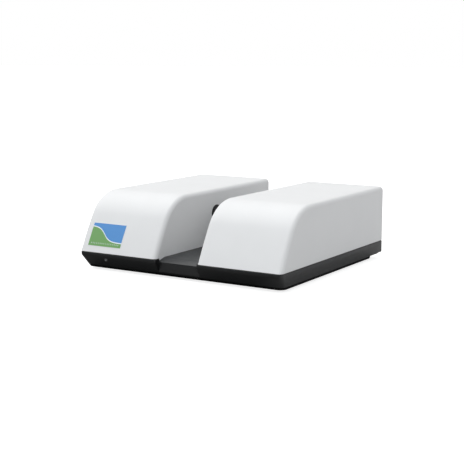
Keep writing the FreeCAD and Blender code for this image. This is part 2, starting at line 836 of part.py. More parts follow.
def beam_port(label, wall_x, outwards):
    """Flat bezel ring on the pod wall, round the clear opening."""
    start_x = wall_x if outwards > 0 else wall_x - BEZEL_THICK
    ring = prism("ring", ROUND_SIDES, d.port_radius, (start_x, d.beam_y, d.beam_z), BEZEL_THICK, "x")
    bore = prism("bore", ROUND_SIDES, d.port_bore, (start_x - 1, d.beam_y, d.beam_z), BEZEL_THICK + 2, "x")
    node(cut("bezel", ring, bore), label)


def window(label, wall_x, outwards):
    """Square quartz plate against the inside of the pod wall."""
    inside = wall_x - outwards * d.cover_wall
    faces = sorted((inside, inside - outwards * 2), key=number_of)
    half = d.port_radius
    pane = block("pane", faces, (d.beam_y - half, d.beam_y + half), (d.beam_z - half, d.beam_z + half))
    node(pane, label)


# Rear panels and what they carry

FAN_X = -195
FAN_Z = 124
FAN_BORE = 28
INLET_X = -95
INLET_Z = 72
ROCKER_X = -140
ROCKER_Z = 72
USB_X = 110
USB_HALF = 6
USB_TALL = 11
VENT_WIDTH = 3
VENT_PITCH = 8


def rear_panel(label, inner, outer, openings, vent_x, vent_z, vents):
    """Sheet panel with bevelled top corners, cut-outs, a row of vents and screw holes."""
    body = new_body(label)
    outline = new_sketch(body, "XZ_Plane", -panel_back)
    top = roof_z - d.cover_wall - d.slide_fit
    sides = (inner + d.slide_fit, outer - d.slide_fit)
    rectangle(outline, sides, (d.junction_z + d.slide_fit, top))
    form = pad(body, outline, d.panel_thick)
    upper = edges_where(form, lambda a, b: near(a.z, top) and near(b.z, top) and near(a.x, b.x))
    bevel(body, form, upper, d.edge_round / 2)
    cutouts = new_sketch(body, "XZ_Plane", -panel_back)
    for kind, *sizes in openings:
        if kind == "round":
            regular(cutouts, *sizes, ROUND_SIDES)
        elif kind == "screw":
            regular(cutouts, *sizes)
        else:
            rectangle(cutouts, *sizes)
    for x, z in panel_screw_places(inner, outer):
        regular(cutouts, x, z, PANEL_SCREW + 0.3)
    cut_forward(body, cutouts, d.panel_thick)
    slot = new_sketch(body, "XZ_Plane", -panel_back)
    rectangle(slot, (vent_x, vent_x + VENT_WIDTH), vent_z)
    row = cut_forward(body, slot, d.panel_thick)
    pattern = body.newObject("PartDesign::LinearPattern", f"{label}_vents")
    pattern.Originals = [row]
    pattern.Direction = (slot, ["H_Axis"])
    pattern.Length = (vents - 1) * VENT_PITCH
    pattern.Occurrences = vents
    body.Tip = pattern
    doc.recompute()


def cut_forward(body, flat, length):
    """Cuts along the sketch's own normal, towards the front for a sketch on the back."""
    return pocket(body, flat, length, along_normal=True)


def left_rear_panel():
    inlet_half = 14.2
    holes = [
        ("round", FAN_X, FAN_Z, FAN_BORE - 1),
        ("square", (INLET_X - inlet_half, INLET_X + inlet_half), (INLET_Z - 18.2, INLET_Z + 18.2)),
        ("square", (ROCKER_X - 9.2, ROCKER_X + 9.2), (ROCKER_Z - 13.2, ROCKER_Z + 13.2)),
    ]
    holes += [("screw", x, z, PANEL_SCREW + 0.3) for x, z in fan_screw_places()]
    sides = (left + d.cover_wall, gap_left - d.cover_wall)
    rear_panel("left_rear_panel", *sides, holes, -140, (105, 145), 7)


def right_rear_panel():
    usb_z = (board_top - 0.3, board_top + USB_TALL + 0.3)
    holes = [("square", (USB_X - USB_HALF - 0.3, USB_X + USB_HALF + 0.3), usb_z)]
    sides = (gap_right + d.cover_wall, right - d.cover_wall)
    rear_panel("right_rear_panel", *sides, holes, 120, (105, 145), 9)


GUARD_THICK = 1.6


def panel_screw(x, z, seat):
    """Hexagon-headed screw, its head on a plane seat behind the panel's back."""
    shank_start = panel_front - 10
    head = prism("head", 6, 2.9, (x, panel_back + seat, z), 1.8, "y")
    shank = prism("shank", 6, PANEL_SCREW - 0.1, (x, shank_start, z), 10 + d.panel_thick + seat + 0.5, "y")
    return fuse("panel_screw", head, shank)


def fan_screw_places():
    reach = d.fan_size / 2 - 5
    return [(FAN_X + across * reach, FAN_Z + up * reach) for across in (-1, 1) for up in (-1, 1)]


def panel_screws():
    """Screws of both rear panels, and the fan's own through its guard."""
    places = panel_screw_places(left + d.cover_wall, gap_left - d.cover_wall)
    places += panel_screw_places(gap_right + d.cover_wall, right - d.cover_wall)
    screws = [panel_screw(x, z, 0) for x, z in places]
    screws += [panel_screw(x, z, GUARD_THICK) for x, z in fan_screw_places()]
    node(group("rear_screws", screws), "panel_screws")


def fan_frame():
    """Square frame with a round duct, corner holes, three struts and the motor's seat."""
    half = d.fan_size / 2
    front_y = panel_front - d.fan_depth
    sides = ((FAN_X - half, FAN_X + half), (FAN_Z - half, FAN_Z + half))
    case = block("case", sides[0], (front_y, panel_front), sides[1])
    duct = prism("duct", ROUND_SIDES, FAN_BORE, (FAN_X, front_y - 1, FAN_Z), d.fan_depth + 2, "y")
    holes = []
    for x, z in fan_screw_places():
        holes.append(prism("hole", 6, PANEL_SCREW, (x, front_y - 1, z), d.fan_depth + 2, "y"))
    shell = cut("shell", case, duct, *holes)
    seat = prism("seat", 12, 10, (FAN_X, panel_front - 2.4, FAN_Z), 2.4, "y")
    struts = [seat]
    for turn in (90, 210, 330):
        strut = block("strut", (-2, 2), (panel_front - 2.4, panel_front), (6, FAN_BORE + 1))
        turned = doc.addObject("Part::Feature", "strut_turned")
        strut_shape(strut, turned, turn)
        struts.append(turned)
    frame = fuse("frame", shell, *struts)
    bore = rod("bore", 1.5 + d.running_fit, (FAN_X, panel_front - 3, FAN_Z), 2.6, "y")
    node(cut("fan_case", frame, bore), "fan_frame")


def strut_shape(strut, turned, turn):
    """Copies a strut to its place round the fan's axis."""
    doc.recompute()
    shape = strut.Shape.copy()
    shape.rotate(Vector(0, 0, 0), Vector(0, 1, 0), turn)
    shape.translate(Vector(FAN_X, 0, FAN_Z))
    turned.Shape = shape


BLADES = 7
HUB_RADIUS = 11
BLADE_TIP = 26
BLADE_PITCH = 40
BLADE_CHORD = 13


def fan_rotor():
    """Hub with seven pitched blades and its shaft."""
    middle = number_of(panel_front - d.fan_depth) + 7
    rim = []
    for step in range(SMALL_ROUND_SIDES):
        angle = 2 * math.pi * step / SMALL_ROUND_SIDES
        rim.append(Vector(HUB_RADIUS * math.cos(angle), 0, HUB_RADIUS * math.sin(angle)))
    hub = Part.Face(Part.makePolygon(rim + rim[:1])).extrude(Vector(0, 9, 0))
    hub.translate(Vector(0, middle - 4, 0))
    shaft = Part.makeCylinder(1.5, 2.8, Vector(0, middle + 4.5, 0), Vector(0, 1, 0))
    blade = Part.makeBox(BLADE_CHORD, 1.2, BLADE_TIP - HUB_RADIUS + 2)
    blade.translate(Vector(-BLADE_CHORD / 2, -0.6, HUB_RADIUS - 2))
    blade.rotate(Vector(0, 0, 0), Vector(0, 0, 1), BLADE_PITCH)
    blade.translate(Vector(0, middle, 0))
    shape = hub.fuse(shaft)
    for step in range(BLADES):
        turned = blade.copy()
        turned.rotate(Vector(0, 0, 0), Vector(0, 1, 0), 360 / BLADES * step)
        shape = shape.fuse(turned)
    rotor = doc.addObject("Part::Feature", "rotor")
    rotor.Shape = shape.removeSplitter()
    rotor.Placement = FreeCAD.Placement(Vector(FAN_X, 0, FAN_Z), FreeCAD.Rotation())
    node(rotor, "fan_rotor")


def fan_guard():
    """Square pressed guard on the panel: frame and level bars, open between them."""
    body = new_body("fan_guard")
    half = d.fan_size / 2
    plate = new_sketch(body, "XZ_Plane", -panel_back)
    rectangle(plate, (FAN_X - half, FAN_X + half), (FAN_Z - half, FAN_Z + half))
    form = pad(body, plate, GUARD_THICK, back_to_front=True)
    bevel(body, form, edges_where(form, lambda a, b: near(a.x, b.x) and near(a.z, b.z)), 5)
    holes = new_sketch(body, "XZ_Plane", -panel_back - GUARD_THICK)
    for x, z in fan_screw_places():
        regular(holes, x, z, PANEL_SCREW + 0.3)
    cut_forward(body, holes, GUARD_THICK)
    gap = new_sketch(body, "XZ_Plane", -panel_back - GUARD_THICK)
    rectangle(gap, (FAN_X - 20, FAN_X + 20), (FAN_Z - 26, FAN_Z - 22))
    first = cut_forward(body, gap, GUARD_THICK)
    gaps = body.newObject("PartDesign::LinearPattern", "guard_gaps")
    gaps.Originals = [first]
    gaps.Direction = (gap, ["V_Axis"])
    gaps.Length = 48
    gaps.Occurrences = 9
    body.Tip = gaps
    doc.recompute()


INLET_HALF = 14
CAVITY_HALF = 12.2
DRAWER_HALF = 11


def power_inlet():
    """Mains inlet: flange, socket with two bevelled corners, and the fuse drawer's bay below."""
    body = new_body("power_inlet")
    case = new_sketch(body, "XZ_Plane", -panel_back)
    rectangle(case, (INLET_X - INLET_HALF, INLET_X + INLET_HALF), (INLET_Z - 18, INLET_Z + 18))
    pad(body, case, 24)
    flange = new_sketch(body, "XZ_Plane", -panel_back)
    rectangle(flange, (INLET_X - 16, INLET_X + 16), (INLET_Z - 20, INLET_Z + 20))
    pad(body, flange, 2.5, back_to_front=True)
    mouth_y = panel_back + 2.5
    low = INLET_Z - 3
    high = INLET_Z + 14
    socket = new_sketch(body, "XZ_Plane", -mouth_y)
    polygon(
        socket,
        (
            (INLET_X - CAVITY_HALF, low),
            (INLET_X + CAVITY_HALF, low),
            (INLET_X + CAVITY_HALF, high - 5),
            (INLET_X + CAVITY_HALF - 5, high),
            (INLET_X - CAVITY_HALF + 5, high),
            (INLET_X - CAVITY_HALF, high - 5),
        ),
    )
    cut_forward(body, socket, 17)
    bay = new_sketch(body, "XZ_Plane", -mouth_y)
    rectangle(bay, (INLET_X - DRAWER_HALF, INLET_X + DRAWER_HALF), (INLET_Z - 15, INLET_Z - 7))
    cut_forward(body, bay, 22)


def inlet_pins():
    deep = panel_back + 2.5 - 17
    pins = []
    for x, z in ((-7, 1), (7, 1), (0, 9)):
        sides = ((INLET_X + x - 1, INLET_X + x + 1), (INLET_Z + z - 2, INLET_Z + z + 2))
        pins.append(block("pin", sides[0], (deep, deep + 13), sides[1]))
    node(group("pins", pins), "inlet_pins")


def fuse_drawer():
    """Drawer with a finger lip, open on top for two fuses."""
    fit = d.slide_fit
    inner = panel_back + 2.5 - 21
    x = (INLET_X - DRAWER_HALF + fit, INLET_X + DRAWER_HALF - fit)
    z = (INLET_Z - 15 + fit, INLET_Z - 7 - fit)
    tray = block("tray", x, (inner, panel_back + 2.5), z)
    lip_y = (panel_back + 2.4, panel_back + 3.8)
    lip = block("lip", (INLET_X - 4, INLET_X + 4), lip_y, (z[0] + 4.4, z[1]))
    well_y = (inner + 1.5, panel_back - 1)
    wells = []
    for side in (-1, 1):
        middle = INLET_X + side * 5
        wells.append(block("well", (middle - 3, middle + 3), well_y, (z[0] + 2, z[1] + 1)))
    node(cut("drawer", fuse("drawer_body", tray, lip), *wells), "fuse_drawer")


ROCKER_PIVOT_Y = panel_back - 5
ROCKER_TILT = 8
ROCKER_HALF = 7.2
ROCKER_PIN = 1.5


def rocker_frame():
    body = new_body("rocker_frame")
    case = new_sketch(body, "XZ_Plane", -panel_back)
    rectangle(case, (ROCKER_X - 9, ROCKER_X + 9), (ROCKER_Z - 13, ROCKER_Z + 13))
    pad(body, case, 20)
    flange = new_sketch(body, "XZ_Plane", -panel_back)
    rectangle(flange, (ROCKER_X - 11, ROCKER_X + 11), (ROCKER_Z - 15, ROCKER_Z + 15))
    pad(body, flange, 2, back_to_front=True)
    well = new_sketch(body, "XZ_Plane", -panel_back - 2)
    rectangle(well, (ROCKER_X - 7.5, ROCKER_X + 7.5), (ROCKER_Z - 11, ROCKER_Z + 11))
    cut_forward(body, well, 16)
    pivot = new_sketch(body, "YZ_Plane", ROCKER_X - 8.6)
    circle(pivot, ROCKER_PIVOT_Y, ROCKER_Z, ROCKER_PIN + d.running_fit)
    pocket(body, pivot, 17.2, along_normal=True)


def power_rocker():
    """Rocker with a shallow V face, resting in its off position."""
    body = new_body("power_rocker")
    section = new_sketch(body, "YZ_Plane", -ROCKER_HALF)
    polygon(section, ((-6, -4), (2, -9.6), (6.5, -9.6), (4.4, 0), (6.5, 9.6), (2, 9.6), (-6, 4)))
    pad(body, section, 2 * ROCKER_HALF)
    pins = new_sketch(body, "YZ_Plane", -ROCKER_HALF - 1.1)
    circle(pins, 0, 0, ROCKER_PIN)
    pad(body, pins, 2 * ROCKER_HALF + 2.2)
    tilt = FreeCAD.Rotation(Vector(1, 0, 0), -ROCKER_TILT)
    body.Placement = FreeCAD.Placement(Vector(ROCKER_X, number_of(ROCKER_PIVOT_Y), ROCKER_Z), tilt)
    doc.recompute()


def usb_port():
    """Square data socket on the main board, with its tongue."""
    body = new_body("usb_port")
    shell = new_sketch(body, "XZ_Plane", -panel_back - 1.5)
    rectangle(shell, (USB_X - USB_HALF, USB_X + USB_HALF), (board_top, board_top + USB_TALL))
    pad(body, shell, 15.5)
    mouth = new_sketch(body, "XZ_Plane", -panel_back - 1.5)
    low = board_top + 1.4
    high = board_top + 9.6
    polygon(
        mouth,
        (
            (USB_X - 4.4, low),
            (USB_X + 4.4, low),
            (USB_X + 4.4, high - 2),
            (USB_X + 2.8, high),
            (USB_X - 2.8, high),
            (USB_X - 4.4, high - 2),
        ),
    )
    cut_forward(body, mouth, 10)
    tongue = new_sketch(body, "XZ_Plane", -panel_back + 9)
    rectangle(tongue, (USB_X - 2.8, USB_X + 2.8), (board_top + 4, board_top + 7.2))
    pad(body, tongue, 9.5, back_to_front=True)


# Light source, in the left pod

HOUSE_X = (-230, -142)
HOUSE_HALF_Y = 40
HOUSE_TOP = 140
HOUSE_FLOOR = 68
LAMP_X = -168
HALOGEN_X = -212
PARTITION = (-196, -190)
CONDENSER_RADIUS = 10


def lamp_house():
    """Cast housing: two lamp chambers, a lens partition, a skirt below and cooling fins behind."""
    body = new_body("lamp_house")
    outline = new_sketch(body, "XY_Plane", bench_top)
    rectangle(outline, HOUSE_X, (-HOUSE_HALF_Y, HOUSE_HALF_Y))
    pad(body, outline, HOUSE_TOP - bench_top)
    chambers = new_sketch(body, "XY_Plane", HOUSE_TOP)
    inner_y = (-HOUSE_HALF_Y + 4, HOUSE_HALF_Y - 4)
    rectangle(chambers, (HOUSE_X[0] + 4, PARTITION[0]), inner_y)
    rectangle(chambers, (PARTITION[1], HOUSE_X[1] - 4), inner_y)
    pocket(body, chambers, HOUSE_TOP - HOUSE_FLOOR)
    skirt = new_sketch(body, "XY_Plane", bench_top)
    rectangle(skirt, (HOUSE_X[0] + 4, HOUSE_X[1] - 4), inner_y)
    pocket(body, skirt, HOUSE_FLOOR - 4 - bench_top, along_normal=True)
    beam = new_sketch(body, "YZ_Plane", PARTITION[0] - 1)
    regular(beam, d.beam_y, d.beam_z, CONDENSER_RADIUS + 0.1, SMALL_ROUND_SIDES)
    pocket(body, beam, HOUSE_X[1] - PARTITION[0] + 2, along_normal=True)
    fin = new_sketch(body, "XY_Plane", HOUSE_FLOOR)
    rectangle(fin, (HOUSE_X[0] - 8, HOUSE_X[0] + 1), (-31, -29))
    first_fin = pad(body, fin, HOUSE_TOP - HOUSE_FLOOR)
    fins = body.newObject("PartDesign::LinearPattern", "lamp_house_fins")
    fins.Originals = [first_fin]
    fins.Direction = (fin, ["V_Axis"])
    fins.Length = 60
    fins.Occurrences = 7
    body.Tip = fins
    doc.recompute()


def lamp_house_lid():
    body = new_body("lamp_house_lid")
    plate = new_sketch(body, "XY_Plane", HOUSE_TOP)
    rectangle(plate, HOUSE_X, (-HOUSE_HALF_Y, HOUSE_HALF_Y))
    pad(body, plate, 2)
    slot = new_sketch(body, "XY_Plane", HOUSE_TOP + 2)
    rectangle(slot, (-184, -152), (-28, -24))
    first = pocket(body, slot, 2)
    slots = body.newObject("PartDesign::LinearPattern", "lid_slots")
    slots.Originals = [first]
    slots.Direction = (slot, ["V_Axis"])
    slots.Length = 52
    slots.Occurrences = 6
    body.Tip = slots
    doc.recompute()


def lamps():
    """Two bulbs on the beam: the halogen lamp shines through the deuterium lamp."""
    base_z = HOUSE_FLOOR
    flange = prism("flange", 8, 19, (LAMP_X, d.beam_y, base_z + 4), 6)
    stem = prism("stem", 8, 10, (LAMP_X, d.beam_y, base_z), 4)
    node(fuse("lamp_base", flange, stem), "deuterium_socket")
    node(prism("bulb", SMALL_ROUND_SIDES, 13, (LAMP_X, d.beam_y, base_z + 10), 56), "deuterium_lamp")
    sides = ((HALOGEN_X - 9, HALOGEN_X + 9), (d.beam_y - 9, d.beam_y + 9))
    node(block("halogen_base", sides[0], sides[1], (base_z, base_z + 24)), "halogen_socket")
    node(prism("capsule", SMALL_ROUND_SIDES, 6, (HALOGEN_X, d.beam_y, base_z + 24), 30), "halogen_lamp")


def lens(label, x, radius):
    """A round lens with its middle plane at x."""
    node(prism("blank", SMALL_ROUND_SIDES, radius, (x - 2, d.beam_y, d.beam_z), 4, "x"), label)


LENS_X = -72
LENS_RADIUS = 11


def source_lens_mount():
    """Post with a round seat for the lens."""
    body = new_body("source_lens_mount")
    outline = new_sketch(body, "YZ_Plane", LENS_X - 5)
    rectangle(outline, (-16, 16), (bench_top, d.beam_z + 16))
    form = pad(body, outline, 10)
    top_z = 2 * d.beam_z + 32
    top = edges_where(form, lambda a, b: near(a.z + b.z, top_z) and near(a.y, b.y))
    bevel(body, form, top, 8)
    seat = new_sketch(body, "YZ_Plane", LENS_X - 5)
    regular(seat, d.beam_y, d.beam_z, LENS_RADIUS + 0.1, SMALL_ROUND_SIDES)
    pocket(body, seat, 10, along_normal=True)


WHEEL_X = -92
WHEEL_DROP = 17
WHEEL_RADIUS = 25
WHEEL_PORTS = 6
FILTER_HALF = 4.8
SHAFT = 1.5


def filter_wheel():
    """Wheel with six square ports on one circle, the top one on the beam, and its shaft."""
    body = new_body("filter_wheel")
    body.Placement.Base = Vector(WHEEL_X, 0, number_of(d.beam_z) - WHEEL_DROP)
    disc = new_sketch(body, "YZ_Plane", 0)
    regular(disc, 0, 0, WHEEL_RADIUS, 18)
    pad(body, disc, 3)
    shaft = new_sketch(body, "YZ_Plane", -18)
    circle(shaft, 0, 0, SHAFT)
    pad(body, shaft, 19)
    port = new_sketch(body, "YZ_Plane", 3)
    half = FILTER_HALF + 0.2
    rectangle(port, (-half, half), (WHEEL_DROP - half, WHEEL_DROP + half))
    first = pocket(body, port, 3)
    ports = body.newObject("PartDesign::PolarPattern", "filter_ports")
    ports.Originals = [first]
    ports.Axis = (port, ["N_Axis"])
    ports.Angle = 360
    ports.Occurrences = WHEEL_PORTS
    body.Tip = ports
    doc.recompute()


def calibration_filters():
    """Square glasses in the wheel's ports; the port on the beam stays open."""
    glasses = []
    for step in range(1, WHEEL_PORTS):
        turn = -360 / WHEEL_PORTS * step
        size = 2 * FILTER_HALF
        glass = Part.makeBox(2, size, size, Vector(0.5, -FILTER_HALF, WHEEL_DROP - FILTER_HALF))
        glass.rotate(Vector(0, 0, 0), Vector(1, 0, 0), turn)
        piece = doc.addObject("Part::Feature", "glass")
        piece.Shape = glass
        piece.Placement.Base = Vector(WHEEL_X, 0, number_of(d.beam_z) - WHEEL_DROP)
        glasses.append(piece)
    node(group("filters", glasses), "calibration_filters")


def wheel_motor():
    centre_z = d.beam_z - WHEEL_DROP
    can = prism("can", 8, 10.5, (WHEEL_X - 20, 0, centre_z), 17, "x")
    foot = block("foot", (WHEEL_X - 17, WHEEL_X - 9), (-9, 9), (bench_top, centre_z))
    bore = rod("bore", SHAFT + d.running_fit, (WHEEL_X - 18.5, 0, centre_z), 17, "x")
    node(cut("motor", fuse("motor_body", can, foot), bore), "wheel_motor")


SHUTTER_X = -118
SHUTTER_Y = 26
SHUTTER_DROP = 14
SHUTTER_BLADE = 9


def shutter_blade():
    """Round blade on an arm, closed across the beam at rest."""
    centre = (SHUTTER_X, SHUTTER_Y, d.beam_z - SHUTTER_DROP)
    reach = math.hypot(SHUTTER_Y, SHUTTER_DROP)
    blade = prism("blade", 12, SHUTTER_BLADE, (SHUTTER_X, 0, d.beam_z), 1.2, "x")
    pivot = prism("pivot", 8, 4, centre, 1.2, "x")
    shaft = rod("shaft", SHAFT, (SHUTTER_X - 10, SHUTTER_Y, d.beam_z - SHUTTER_DROP), 10.5, "x")
    arm = doc.addObject("Part::Feature", "arm")
    strip = Part.makeBox(1.2, reach, 5, Vector(0, -reach, -2.5))
    strip.rotate(Vector(0, 0, 0), Vector(1, 0, 0), -math.degrees(math.atan2(SHUTTER_DROP, SHUTTER_Y)))
    strip.translate(Vector(*(number_of(each) for each in centre)))
    arm.Shape = strip
    node(fuse("shutter", blade, pivot, shaft, arm), "shutter_blade")


def shutter_solenoid():
    centre_z = d.beam_z - SHUTTER_DROP
    can = prism("can", 8, 9.5, (SHUTTER_X - 19, SHUTTER_Y, centre_z), 18, "x")
    foot_y = (SHUTTER_Y - 7, SHUTTER_Y + 7)
    foot = block("foot", (SHUTTER_X - 15, SHUTTER_X - 5), foot_y, (bench_top, centre_z))
    bore = rod("bore", SHAFT + d.running_fit, (SHUTTER_X - 11, SHUTTER_Y, centre_z), 11, "x")
    node(cut("solenoid", fuse("solenoid_body", can, foot), bore), "shutter_solenoid")


# Electronics


def circuit_board(label, x, y, parts, holes=()):
    """A board on its posts with its soldered parts: (kind, x, y, sizes) from its top."""
    pieces = [block("laminate", x, y, (board_bottom, board_top))]
    for kind, px, py, *sizes in parts:
        if kind == "can":
            pieces.append(prism("can", 8, sizes[0], (px, py, board_top - 0.1), sizes[1] + 0.1))
        else:
            half_x, half_y, tall = sizes[0] / 2, sizes[1] / 2, sizes[2]
            sides = ((px - half_x, px + half_x), (py - half_y, py + half_y))
            pieces.append(block("chip", sides[0], sides[1], (board_top - 0.1, board_top + tall)))
    whole = fuse(f"{label}_whole", *pieces)
    if holes:
        radius = PEDESTAL_RADIUS + 1.5
        drills = [prism("drill", 6, radius, (hx, hy, board_bottom - 1), 8) for hx, hy in holes]
        whole = cut(f"{label}_drilled", whole, *drills)
    node(whole, label)


def boards():
    sink = [("block", -216 + step * 7, -95, 2, 50, 26) for step in range(6)]
    sink.append(("block", -198, -95, 38, 50, 4))
    driver = sink + [("can", x, -180, 7, 18) for x in (-210, -190, -170)]
    driver += [("block", -100, -110, 26, 34, 16), ("block", -130, -180, 16, 12, 3)]
    driver.append(("block", -90, -185, 24, 8, 11))
    circuit_board("lamp_driver_board", DRIVER_X, DRIVER_Y, driver)
    power = [("can", x, 95, 10, 30) for x in (-215, -190)]
    power += [("block", -85, 100, 18, 26, 20), ("block", -205, 150, 30, 46, 24)]
    power.append(("block", -165, 190, 22, 10, 12))
    circuit_board("power_board", POWER_X, POWER_Y, power)
    main = [
        ("block", 150, 20, 26, 26, 2.5),
        ("block", 190, 20, 18, 12, 1.6),
        ("block", 190, 45, 18, 12, 1.6),
        ("block", 150, -110, 60, 44, 7),
        ("block", 100, -170, 30, 8, 9),
        ("block", 190, -185, 30, 8, 9),
        ("block", 170, 150, 22, 22, 2.2),
        ("can", 210, 170, 6, 14),
        ("can", 210, 190, 6, 14),
    ]
    circuit_board("main_board", MAIN_X, MAIN_Y, main, PEDESTALS)
    core = block("core", (-150, -106), (128, 146), (board_top, board_top + 40))
    winding = block("winding", (-144, -112), (118, 156), (board_top + 6, board_top + 34))
    node(fuse("transformer", core, winding), "power_transformer")


# Polychromator, in the right pod

BOX_X = (96, 236)
BOX_Y = (-60, 98)
BOX_Z = (85, 138)
BOX_WALL = 5
SNOUT_X = 64
SNOUT_RADIUS = 15
ARRAY_Y = 62
GRATING_X = 214
GRATING_Y = 18
GRATING_TURN = 6.3


def polychromator_housing():
    """Cast box open on top, with a lens snout on the beam and a window for the array."""
    body = new_body("polychromator_housing")
    outline = new_sketch(body, "XY_Plane", BOX_Z[0])
    rectangle(outline, BOX_X, BOX_Y)
    form = pad(body, outline, BOX_Z[1] - BOX_Z[0])
    bevel(body, form, edges_where(form, lambda a, b: abs(a.z - b.z) > 1), 8)
    snout = new_sketch(body, "YZ_Plane", SNOUT_X)
    regular(snout, d.beam_y, d.beam_z, SNOUT_RADIUS, 8)
    pad(body, snout, BOX_X[0] - SNOUT_X + 1)
    cavity = new_sketch(body, "XY_Plane", BOX_Z[1])
    inner_x = (BOX_X[0] + BOX_WALL, BOX_X[1] - BOX_WALL)
    inner_y = (BOX_Y[0] + BOX_WALL, BOX_Y[1] - BOX_WALL)
    rectangle(cavity, inner_x, inner_y)
    pocket(body, cavity, BOX_Z[1] - BOX_Z[0] - 4)
    bore = new_sketch(body, "YZ_Plane", SNOUT_X)
    regular(bore, d.beam_y, d.beam_z, LENS_RADIUS + 0.1, SMALL_ROUND_SIDES)
    pocket(body, bore, 26, along_normal=True)
    entry = new_sketch(body, "YZ_Plane", SNOUT_X)
    regular(entry, d.beam_y, d.beam_z, 6, 8)
    pocket(body, entry, BOX_X[0] - SNOUT_X + BOX_WALL + 1, along_normal=True)
    port = new_sketch(body, "YZ_Plane", BOX_X[0] - 1)
    rectangle(port, (ARRAY_Y - 17, ARRAY_Y + 17), (d.beam_z - 5, d.beam_z + 5))
    pocket(body, port, BOX_WALL + 2, along_normal=True)


def polychromator_lid():
    body = new_body("polychromator_lid")
    outline = new_sketch(body, "XY_Plane", BOX_Z[1])
    rectangle(outline, BOX_X, BOX_Y)
    form = pad(body, outline, 3)
    bevel(body, form, edges_where(form, lambda a, b: abs(a.z - b.z) > 1), 8)
    plug = new_sketch(body, "XY_Plane", BOX_Z[1] - 2)
    fit = BOX_WALL + 0.2
    rectangle(plug, (BOX_X[0] + fit, BOX_X[1] - fit), (BOX_Y[0] + fit, BOX_Y[1] - fit))
    pad(body, plug, 2.5)


def polychromator_posts():
    tall = BOX_Z[0] - bench_top
    posts = [prism("post", 6, PEDESTAL_RADIUS, (x, y, bench_top), tall) for x, y in PEDESTALS]
    node(group("posts", posts), "polychromator_posts")


def entrance_slit():
    inner = BOX_X[0] + BOX_WALL
    disc = prism("disc", 8, 9, (inner, d.beam_y, d.beam_z), 1, "x")
    opening = block("opening", (inner - 1, inner + 2), (-0.25, 0.25), (d.beam_z - 3, d.beam_z + 3))
    node(cut("slit", disc, opening), "entrance_slit")


def face_array(thing):
    """Turns a piece about the grating's middle so that it faces between slit and array."""
    thing.Placement = FreeCAD.Placement(
        Vector(GRATING_X, GRATING_Y, number_of(d.beam_z)), FreeCAD.Rotation(Vector(0, 0, 1), -GRATING_TURN)
    )
    return thing


def grating():
    """Square blank with a hollow ruled face towards the slit."""
    blank = block("blank", (0, 8), (-17, 17), (-17, 17))
    hollow = rod("hollow", 90, (-88.6, 0, -18), 36)
    node(face_array(cut("ruled", blank, hollow)), "grating")


def grating_mount():
    """Angle bracket: seat plate behind the blank on a foot."""
    down = BOX_Z[0] + 4 - d.beam_z
    seat = block("seat", (8, 12), (-19, 19), (down, 19))
    foot = block("foot", (-4, 8), (-19, 19), (down, down + 3))
    node(face_array(fuse("bracket", seat, foot)), "grating_mount")


def detector():
    """Array chip behind the housing's window, on its board."""
    back_x = BOX_X[0] - 3

    def across(half):
        return (ARRAY_Y - half, ARRAY_Y + half)

    chip = block("array", (back_x, BOX_X[0] - 0.2), across(20), (d.beam_z - 6, d.beam_z + 6))
    node(chip, "detector_array")
    plate = block("plate", (back_x - 1.6, back_x), across(26), (d.beam_z - 20, d.beam_z + 20))
    plug = block("plug", (back_x - 8, back_x - 1.5), across(12), (d.beam_z - 18, d.beam_z - 12))
    node(fuse("array_board", plate, plug), "detector_board")


# Front of the instrument

LABEL_X = -231
LABEL_Z = (54.3, 99.5)
LABEL_THICK = 0.5


def front_label():
    """Thin plate that follows the bow of the left pod's front."""
    body = new_body("front_label")
    flat = new_sketch(body, "YZ_Plane", LABEL_X)
    middle = Vector(face_centre_y.number, face_centre_z.number, 0)
    arcs = []
    for radius in (d.face_radius, d.face_radius + LABEL_THICK):
        low, high = (math.asin((z - face_centre_z.number) / radius.number) for z in LABEL_Z)
        whole = Part.Circle(middle, Vector(0, 0, 1), radius.number)
        arcs.append(flat.addGeometry(Part.ArcOfCircle(whole, math.pi - high, math.pi - low)))
        index = flat.addConstraint(Sketcher.Constraint("Radius", arcs[-1], radius.number))
        bind(flat, f"Constraints[{index}]", radius)
        fix_point(flat, arcs[-1], 3, face_centre_y, face_centre_z)
        fix(flat, "DistanceY", arcs[-1], 1, LABEL_Z[1])
        fix(flat, "DistanceY", arcs[-1], 2, LABEL_Z[0])
    for end in (1, 2):
        places = [flat.getPoint(arc, end) for arc in arcs]
        edge = flat.addGeometry(Part.LineSegment(*places))
        flat.addConstraint(Sketcher.Constraint("Coincident", edge, 1, arcs[0], end))
        flat.addConstraint(Sketcher.Constraint("Coincident", edge, 2, arcs[1], end))
    pad(body, flat, d.label_width)


def power_indicator():
    """Round light pipe through the front wall of the base."""
    face_y = front + wall_inset(d.front_undercut, INDICATOR_Z) - 0.6
    pipe = prism("pipe", SMALL_ROUND_SIDES, INDICATOR_RADIUS, (INDICATOR_X, face_y, INDICATOR_Z), 14, "y")
    node(pipe, "power_indicator")


